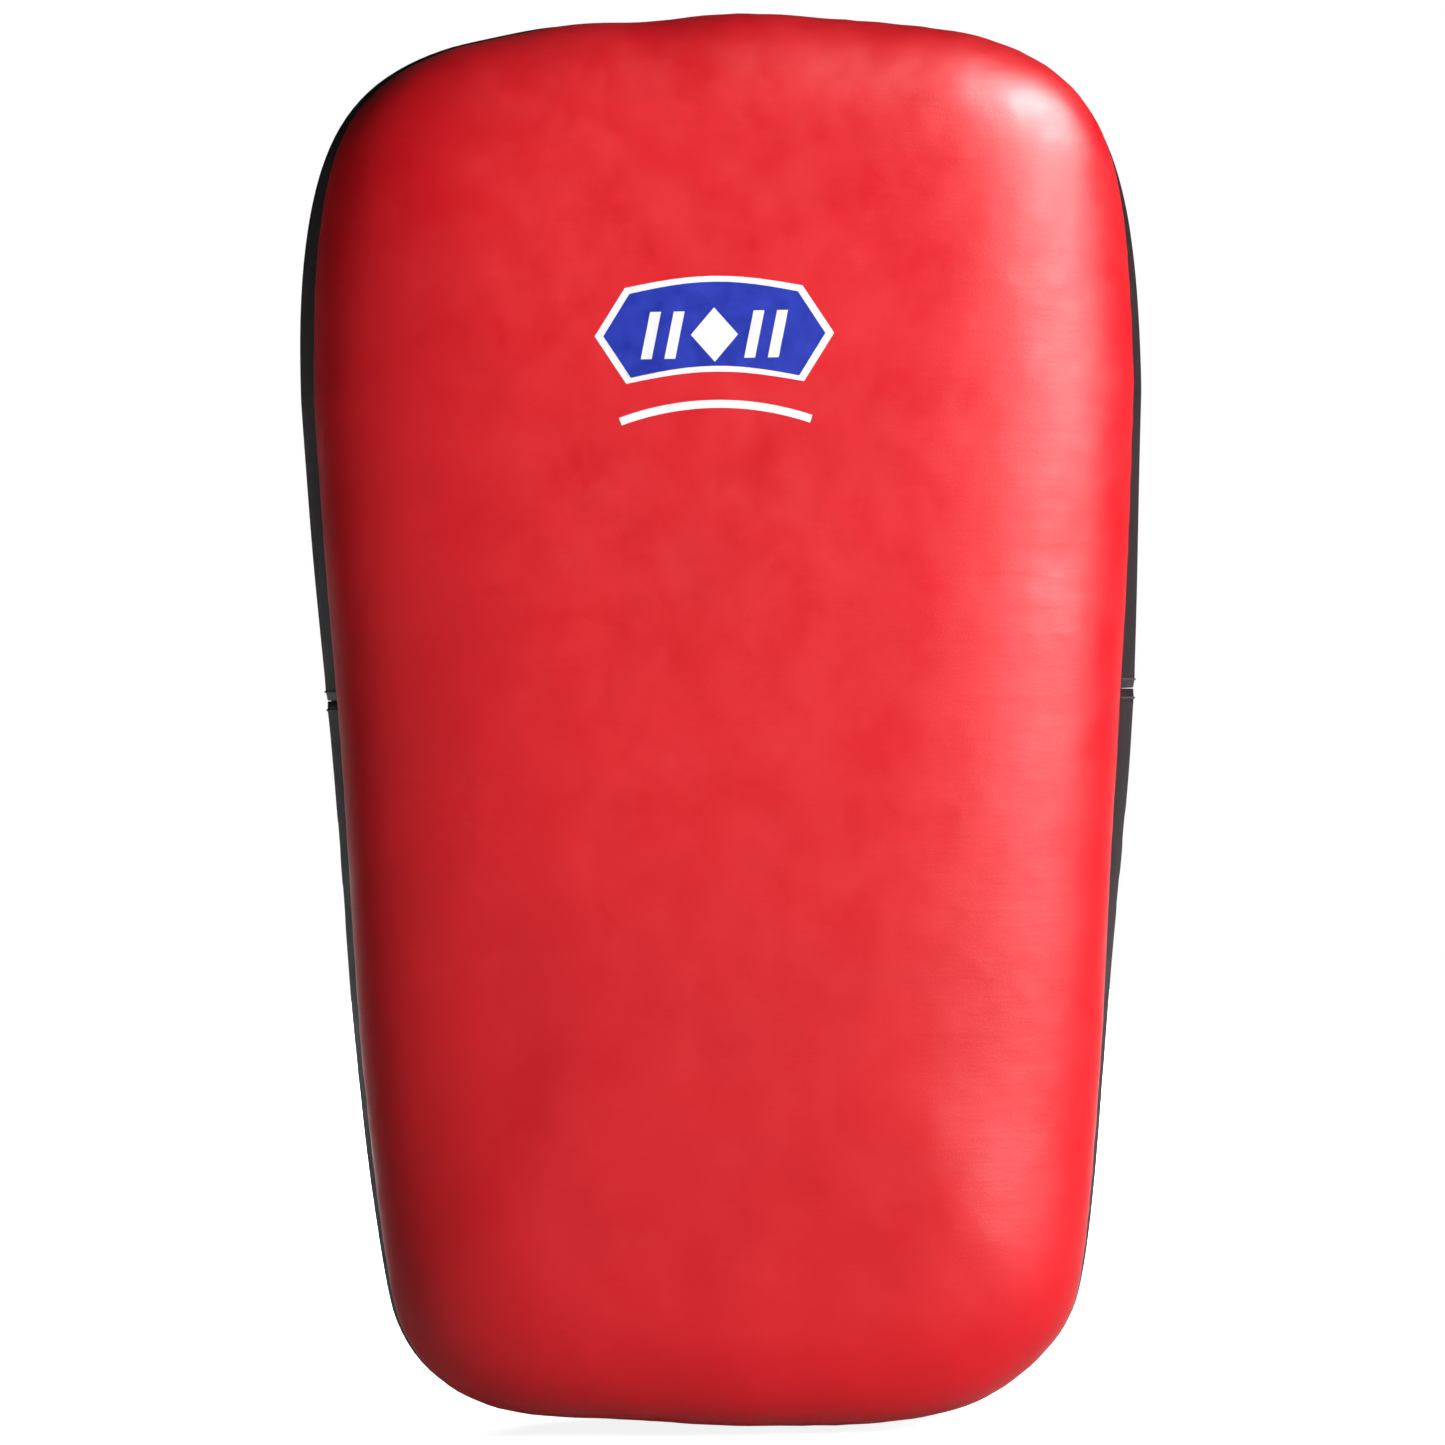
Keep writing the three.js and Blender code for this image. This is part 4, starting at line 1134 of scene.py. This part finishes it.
def rounded_plate(name, box, corner):
    """A leather patch lying on the back: rounded corners, soft edge, pressed-in seam line."""
    low, high = box
    x0, x1, z0, z1 = low.x, high.x, low.z, high.z
    loop = rounded_rectangle(x0, x1, z0, z1, corner, 8, 96)
    short = min(x1 - x0, z1 - z0) / 2
    target_x = np.clip(loop[:, 0], x0 + short, x1 - short)
    target_z = np.clip(loop[:, 1], z0 + short, z1 - short)
    way = np.stack([target_x, target_z], axis=1) - loop
    reach = np.linalg.norm(way, axis=1)
    way /= np.maximum(reach, 1e-9)[:, None]
    rows = []
    for inset, height, is_share in plate_profile(high.y - low.y):
        distance = reach * inset if is_share else np.minimum(inset, reach)
        rows.append(at_height(loop + way * distance[:, None], low.y + height))
    return grid(name, rows, BACK_BLACK, wrap_columns=True, capped=True)


def patches(stitches_name, nodes, corner):
    """Leather patches, and the box of thread sewn on each."""
    rows = []
    for node in nodes:
        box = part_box(node)
        settle(rounded_plate(f"{node}_leather", box, corner), "pad", "back_leather", node)
        low, high = box
        y = high.y + 0.05 * MM
        x0, x1 = low.x + PLATE_STITCH, high.x - PLATE_STITCH
        z0, z1 = low.z + PLATE_STITCH, high.z - PLATE_STITCH
        corners = [(x0, y, z0), (x1, y, z0), (x1, y, z1), (x0, y, z1), (x0, y, z0)]
        rows += [facing_back(np.linspace(start, end, 8)) for start, end in zip(corners[:-1], corners[1:])]
    settle(stitches(stitches_name, rows), "pad", "back_leather")


# ---- Straps ----

WEB = 3 * MM
TAPE_THICK = 1.2 * MM
GAP = 0.3 * MM
# From the inside of the arch to the middle of each layer.
LOOP_MIDDLE = WEB + GAP + TAPE_THICK / 2
HOOK_MIDDLE = LOOP_MIDDLE + TAPE_THICK + GAP
OVER_MIDDLE = 2 * TAPE_THICK + 3 * GAP + 1.5 * WEB
TAPE_MARGIN = 4 * MM  # from the strap's edge to the tape's
# side: -1 left, 1 right; arc: the degrees it follows the arch from and to; corner: radius at its free end.
STRAP_LOOKS = {
    "over": {
        "side": -1, "foot": "strap_foot", "joint": "over_open", "height": OVER_MIDDLE, "arc": (180, 26),
        "corner": 13 * MM, "puff": 0.5 * MM, "ending": "leather",
        "material": STRAP_BLACK, "slot": "strap_leather",
    },
    "counter": {
        "side": 1, "foot": "counter_foot", "joint": "counter_flex", "height": WEB / 2, "arc": (0, 90),
        "corner": 9 * MM, "puff": 0.0, "ending": "web", "material": WEBBING, "slot": "strap_webbing",
    },
}


class Arch:
    """The arch over the forearm that an over-strap and its counter-strap follow."""

    def __init__(self, name):
        over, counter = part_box(f"{name}_over_strap"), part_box(f"{name}_counter_strap")
        self.middle_z = (over[0].z + over[1].z) / 2
        self.half_width = (over[1].z - over[0].z) / 2
        self.centre_y = HINGE[f"{name}_over_open"][1]
        self.inner_half = counter[1].x - WEB
        self.rise = counter[1].y - WEB - self.centre_y

    def curve(self, height, from_degrees, to_degrees):
        """The arch's line at a height over its inside."""
        angles = np.radians(np.linspace(from_degrees, to_degrees, 120))
        x = (self.inner_half + height) * np.cos(angles)
        return np.stack([x, self.centre_y + (self.rise + height) * np.sin(angles)], axis=1)


def sewn_strap(name, part, arch):
    """An over-strap or a counter-strap with its foot and its thread."""
    look = STRAP_LOOKS[part]
    side, height = look["side"], look["height"]
    foot_node, strap_node = f"{name}_{look['foot']}", f"{name}_{part}_strap"
    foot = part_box(foot_node)
    outer_x = foot[0].x if side < 0 else foot[1].x
    root_x = side * (arch.inner_half + height)
    turn_x = root_x + side * 8 * MM
    bend = foot_path(outer_x, foot[0].y + WEB / 2, turn_x, (root_x, arch.centre_y), 2.5 * MM, 16)
    path = even_steps(np.concatenate([bend, arch.curve(height, *look["arc"])]))
    half = rounded_end(path, arch.half_width, look["corner"])
    strap_name = f"{strap_node}_{look['ending']}"
    strap = strip(strap_name, path, arch.middle_z, half, WEB, -side, look["material"], puff=look["puff"])
    rows = edge_rows(path, arch.middle_z, half, WEB / 2 - 0.1 * MM, -side, STRIP_STITCH, 12, -3)
    for piece in (strap, stitches(f"{strap_node}_stitches", rows)):
        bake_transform(piece)
    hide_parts(foot_node, strap_node)


def tape(name, kind, body, arch, height, degrees, count, material):
    """A hook or loop tape along the arch."""
    path = resampled(arch.curve(height, *degrees), count)
    half = arch.half_width - TAPE_MARGIN
    obj = strip(f"{name}_{kind}_tape", path, arch.middle_z, half, TAPE_THICK, 1, material, groove=2.5 * MM)
    settle(obj, body, f"{kind}_tape", f"{name}_{kind}_patch")


def make_strap(name):
    """One forearm strap: over-strap, counter-strap, hook and loop patches, sewn patches and thread."""
    arch = Arch(name)
    for part in STRAP_LOOKS:
        sewn_strap(name, part, arch)
    tape(name, "hook", f"{name}_over", arch, HOOK_MIDDLE, (81, 35), 40, HOOKS)
    tape(name, "loop", f"{name}_counter", arch, LOOP_MIDDLE, (86, 31), 44, LOOPS)
    patches(f"{name}_strap_patch_stitches", (f"{name}_strap_patch", f"{name}_counter_patch"), 4 * MM)


# ---- Handle ----

HANDLE_WEB = 4 * MM
FOOT_HALF = 19 * MM
LEG_HALF = 12 * MM
NARROWS = (41 * MM, 62 * MM)  # the depths between which the foot's width becomes the leg's
HANDLE_STITCH = 3.2 * MM
GRIP_Y = (GRIP[0].y + GRIP[1].y) / 2
GRIP_Z = HINGE["handle_flex"][2]
GRIP_AROUND = 72
GRIP_CLOSING = 8 * MM  # the leather closes on the band this far beyond the foam


def handle_path():
    """From foot to foot: flat on the back, up a leg, through the grip and down the other leg."""
    foot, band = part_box("handle_foot_left")[0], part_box("handle_strap")[0]
    root = band.x + HANDLE_WEB / 2
    bend = foot_path(foot.x, foot.y + HANDLE_WEB / 2, root - 9 * MM, (root, band.y), 3 * MM, 14)
    grip_end = GRIP[0].x - 4 * MM
    leg = bezier([(root, band.y), (root, band.y + 26 * MM), (root + 4 * MM, GRIP_Y), (grip_end, GRIP_Y)], 30)
    left = np.concatenate([bend, leg, [[0, GRIP_Y]]])
    return even_steps(np.concatenate([left, left[:-1][::-1] * [-1, 1]]))


def handle_band():
    """The handle's strip with both its feet and its thread."""
    path = handle_path()
    half = FOOT_HALF + (LEG_HALF - FOOT_HALF) * smooth(path[:, 1], *NARROWS)
    for at_start in (True, False):
        half = np.minimum(half, rounded_end(path, FOOT_HALF, 4 * MM, at_start))
    band = strip("handle_band", path, GRIP_Z, half, HANDLE_WEB, 1, STRAP_BLACK, groove=HANDLE_STITCH)
    first = int(np.argmax(np.abs(path[:, 0]) < GRIP[1].x + 2 * MM))
    rows = []
    for start, stop in ((10, first), (len(path) - first, len(path) - 10)):
        rows += edge_rows(path, GRIP_Z, half, HANDLE_WEB / 2 - 0.1 * MM, 1, HANDLE_STITCH, start, stop)
    for piece in (band, stitches("handle_band_stitches", rows)):
        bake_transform(piece)
    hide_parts("handle_foot_left", "handle_foot_right", "handle_strap")


def grip_drawn(x):
    """How far the grip's leather is drawn in at x, from 0 to 1 at its closed ends."""
    return smooth(np.abs(x), GRIP[1].x - 2 * MM, GRIP[1].x + GRIP_CLOSING)


def grip_radius(x):
    """The grip's radius along X: slightly barrelled, drawn in at both ends."""
    barrel = (GRIP[1].z - GRIP[0].z) / 2 - 1.1 * MM * (x / GRIP[1].x) ** 2
    return barrel * (1 - 0.66 * grip_drawn(x))


def grip_cover():
    """Leather rolled round the grip's foam, gathered where it closes on the band at both ends."""
    half = GRIP[1].x + GRIP_CLOSING
    inner = half - 16 * MM
    ends = np.linspace(inner, half, 14)[1:]
    rows = []
    for x in np.concatenate([-ends[::-1], np.linspace(-inner, inner, 46), ends]):
        gathered = float(grip_drawn(x))
        row = []
        for k in range(GRIP_AROUND):
            angle = 2 * math.pi * k / GRIP_AROUND
            out_y, out_z = math.cos(angle), math.sin(angle)
            pleats = 1 + 0.07 * gathered * math.sin(11 * angle + 1.3 * math.sin(2 * angle))
            radius = float(grip_radius(x)) * pleats
            crease = 0.22 * MM * noise.noise(Vector((x / (10 * MM), 2.2 * out_y, 2.2 * out_z)))
            y = GRIP_Y + out_y * (radius * (1 - 0.38 * gathered) + crease)
            z = GRIP_Z + out_z * (radius * (1 + 0.55 * gathered) + crease)
            row.append((x, y, z))
        rows.append(row)
    return grid("grip_leather_roll", rows, GRIP_BLACK, wrap_columns=True, capped=True)


def grip_stitches():
    """The seam that closes the roll, on the side towards the pad."""
    rows = []
    xs = np.linspace(-GRIP[1].x + 3 * MM, GRIP[1].x - 3 * MM, 60)
    for shift in (-0.16, 0.16):
        angle = math.pi + 0.5 + shift
        y, z = math.cos(angle), math.sin(angle)
        points = np.stack([xs, GRIP_Y + y * grip_radius(xs), GRIP_Z + z * grip_radius(xs)], axis=1)
        rows.append((points, np.tile([0, y, z], (len(xs), 1))))
    return stitches("grip_stitches", rows)


def make_handle():
    """The handle with its patches; its padded cover is given back."""
    handle_band()
    cover = settle(grip_cover(), "handle", "grip_leather", "handle_grip_cover")
    settle(grip_stitches(), "handle", "grip_leather")
    patches("handle_patch_stitches", ("handle_patch_left", "handle_patch_right"), 5 * MM)
    return cover


# ---- Rivets and eyelets ----

TURNED_AROUND = 40
RIVET_DOME = 1.8 * MM
SHANK = 2 * MM
# An eyelet's section, (radius, height) in millimetres.
EYELET_SECTION = [
    (2.2, -1.7), (3.1, -1.7), (3.1, 0.0), (5.2, 0.05), (5.5, 0.35),
    (5.2, 0.7), (4.2, 0.95), (3.2, 1.05), (2.5, 0.85), (2.2, 0.3),
]


def turned(name, profile, is_ring):
    """A turned steel piece about Y from (radius, height) pairs; a ring's profile is closed."""
    angles = np.linspace(0, 2 * math.pi, TURNED_AROUND, endpoint=False)
    circle = np.stack([np.cos(angles), np.sin(angles)], axis=1)
    rows = [at_height(radius * circle, height) for radius, height in profile]
    return grid(name, rows, NICKEL, wrap_rows=is_ring, wrap_columns=True, capped=not is_ring)


def rivet_profile(radius, low, head):
    profile = [(0.3 * MM, low), (SHANK, low), (SHANK, head), (radius - 0.3 * MM, head)]
    profile += [(radius, head + 0.25 * MM), (radius - 0.15 * MM, head + 0.6 * MM), (radius - 0.7 * MM, head + 0.75 * MM)]
    for angle in np.radians([20, 40, 60, 75, 86]):
        height = head + 0.7 * MM + 1.15 * MM * math.sin(angle)
        profile.append(((radius - 0.8 * MM) * math.cos(angle), height))
    return profile


def make_rivets():
    for node in sorted(n for n in frame["nodes"] if "rivet" in n):
        low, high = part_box(node)
        profile = rivet_profile((high.x - low.x) / 2, low.y, high.y - RIVET_DOME)
        obj = turned(f"{node}_cap", profile, is_ring=False)
        obj.data.transform(Matrix.Translation(((low.x + high.x) / 2, 0, (low.z + high.z) / 2)))
        settle(obj, "pad", "steel", node)


def make_eyelets():
    profile = [(radius * MM, height * MM) for radius, height in EYELET_SECTION]
    for node, place, out in eyelet_places():
        obj = turned(f"{node}_ring", profile, is_ring=True)
        turn = Vector((0, 1, 0)).rotation_difference(out).to_matrix().to_4x4()
        obj.data.transform(Matrix.Translation(place - out * EYELET_SINK) @ turn)
        settle(obj, "pad", "steel", node)


# ---- Stage ----

CAMERA_DISTANCE = 1.9
VIEW_HEIGHT = 0.4091  # what the picture takes in at the camera's distance
SENSOR = 36
CAMERA_ROLL = math.radians(0.9)
FLOOR_SIDE, FLOOR_FRONT, FLOOR_BACK = 2.6, -2.6, 3.0
FLOOR_BOUNCE = (0.54, 0.54, 0.54)  # the floor's colour to every ray but the camera's
FLOOR_GLOW = 0.88  # to the camera's rays
WORLD_LIGHT = 0.01
PURE_WHITE = (1, 1, 1, 1)
MIDDLE = (0, 0, 0.55 * HEIGHT)
# Name, place, what it looks at, size, power and spread in degrees.
LAMPS = [
    ("key", (0.9, -0.9, 0.45), (0, 0, 0.08), (0.5, 0.5), 19, 180),
    ("near", (0.7, -0.6, 0.8), MIDDLE, (0.45, 0.45), 1.6, 180),
    ("grazing", (1.0, -0.22, 1.15), (0, 0, 0.3), (0.45, 0.45), 7.5, 180),
    ("floor_front", (0, -1.65, 2.6), (0, -1.65, 0), (5, 2.0), 60, 30),
    ("floor_back", (0, 1.75, 2.6), (0, 1.75, 0), (5, 2.4), 80, 30),
    ("back_soft", (0, 1.9, 0.35), MIDDLE, (0.3, 0.3), 28, 180),
]


def make_camera():
    camera = link_up("camera", bpy.data.cameras.new("camera"))
    camera.data.sensor_width = SENSOR
    camera.data.lens = SENSOR * CAMERA_DISTANCE / VIEW_HEIGHT
    camera.data.clip_end = 20
    camera.location = (-0.95 * MM, -CAMERA_DISTANCE, 0.5 * HEIGHT - 0.85 * MM)
    camera.rotation_euler = (math.radians(90), CAMERA_ROLL, 0)
    bpy.context.scene.camera = camera


def area_light(name, place, aim, size, power, spread):
    data = bpy.data.lights.new(name, "AREA")
    data.spread = math.radians(spread)
    data.shape = "RECTANGLE"
    data.size, data.size_y = size
    data.energy = power
    light = link_up(name, data)
    light.location = place
    light.rotation_euler = (Vector(aim) - Vector(place)).to_track_quat("-Z", "Y").to_euler()
    return light


def shine_on_front(leather):
    """A soft lamp whose gloss alone falls on the striking face, as a bright patch at its upper right."""
    lamp = area_light("corner_gloss", (0.86, -0.55, 1.10), (0.1, 0, 0.36), (0.55, 0.45), 50, 180)
    lamp.visible_diffuse = False
    receivers = bpy.data.collections.new("corner_gloss_receivers")
    receivers.objects.link(leather)
    lamp.light_linking.receiver_collection = receivers


def make_floor():
    """A pale floor that glows white to the camera and throws back less light than it seems to."""
    m = Nodes("floor")
    shade = m.mix(m.noise(m.place(), 30, 2), (0.86, 0.86, 0.86), (0.88, 0.88, 0.88))
    to_camera = m.node("ShaderNodeLightPath").outputs["Is Camera Ray"]
    material = m.finish(m.mix(to_camera, FLOOR_BOUNCE, shade), Roughness=0.9, Emission_Color=PURE_WHITE)
    m.link(m.math("MULTIPLY", to_camera, FLOOR_GLOW), m.shader.inputs["Emission Strength"])
    front = [(-FLOOR_SIDE, FLOOR_FRONT, 0), (FLOOR_SIDE, FLOOR_FRONT, 0)]
    back = [(FLOOR_SIDE, FLOOR_BACK, 0), (-FLOOR_SIDE, FLOOR_BACK, 0)]
    floor = make_object("floor", front + back, [(0, 1, 2, 3)], None, material)
    floor.location.z = -0.2 * MM


def make_world():
    """White to the camera, and next to no light on the pad."""
    world = bpy.data.worlds.new("studio")
    bpy.context.scene.world = world
    world.use_nodes = True
    nodes, links = world.node_tree.nodes, world.node_tree.links
    lighting, seen = nodes["Background"], nodes.new("ShaderNodeBackground")
    for background in (lighting, seen):
        background.inputs["Color"].default_value = PURE_WHITE
    lighting.inputs["Strength"].default_value = WORLD_LIGHT
    path, mix = nodes.new("ShaderNodeLightPath"), nodes.new("ShaderNodeMixShader")
    for number, source in enumerate((path.outputs["Is Camera Ray"], lighting.outputs[0], seen.outputs[0])):
        links.new(source, mix.inputs[number])
    links.new(mix.outputs[0], nodes["World Output"].inputs["Surface"])


# ---- Assembly ----


def build_case():
    leather = settle(front_leather(), "pad", "red_leather", "front_panel")
    strips = []
    for node, is_upper in (("gusset_upper", True), ("gusset_lower", False)):
        strips.append(settle(gusset_strip(node, is_upper), "pad", "gusset_leather", node))
    bpy.context.view_layer.update()
    settle(gusset_join_stitches(strips), "pad", "gusset_leather")
    settle(back_leather(), "pad", "back_leather", "back_panel")
    settle(edge_binding(), "pad", "binding_tape", "edge_binding")
    settle(binding_stitches(), "pad", "binding_tape")
    bpy.context.view_layer.update()
    pieces = emblem(leather)
    for piece in pieces:
        settle(piece, "pad", "emblem_print")
    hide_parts("front_emblem")
    shine_on_front(leather)


def build_cushion():
    cushion = forearm_cushion()
    settle(cushion_foam(cushion), "pad", "soft_foam", "forearm_pad_foam")
    settle(cushion, "pad", "pad_leather", "forearm_pad_cover")
    for piece in (cushion_hem(), hem_stitches(), channel_stitches(cushion)):
        settle(piece, "pad", "pad_leather")


def dress_inner_nodes():
    for node in ("front_foam", "rear_foam", "handle_grip_foam"):
        dress(node, FOAM)
    dress("core_foam", DENSE_FOAM)
    dress("backing_board", BOARD)


make_camera()
make_floor()
make_world()
for lamp_settings in LAMPS:
    area_light(*lamp_settings)
build_case()
build_cushion()
for strap_name in ("lower", "upper"):
    make_strap(strap_name)
make_handle()
make_rivets()
make_eyelets()
dress_inner_nodes()

bpy.context.scene.view_settings.view_transform = "Standard"
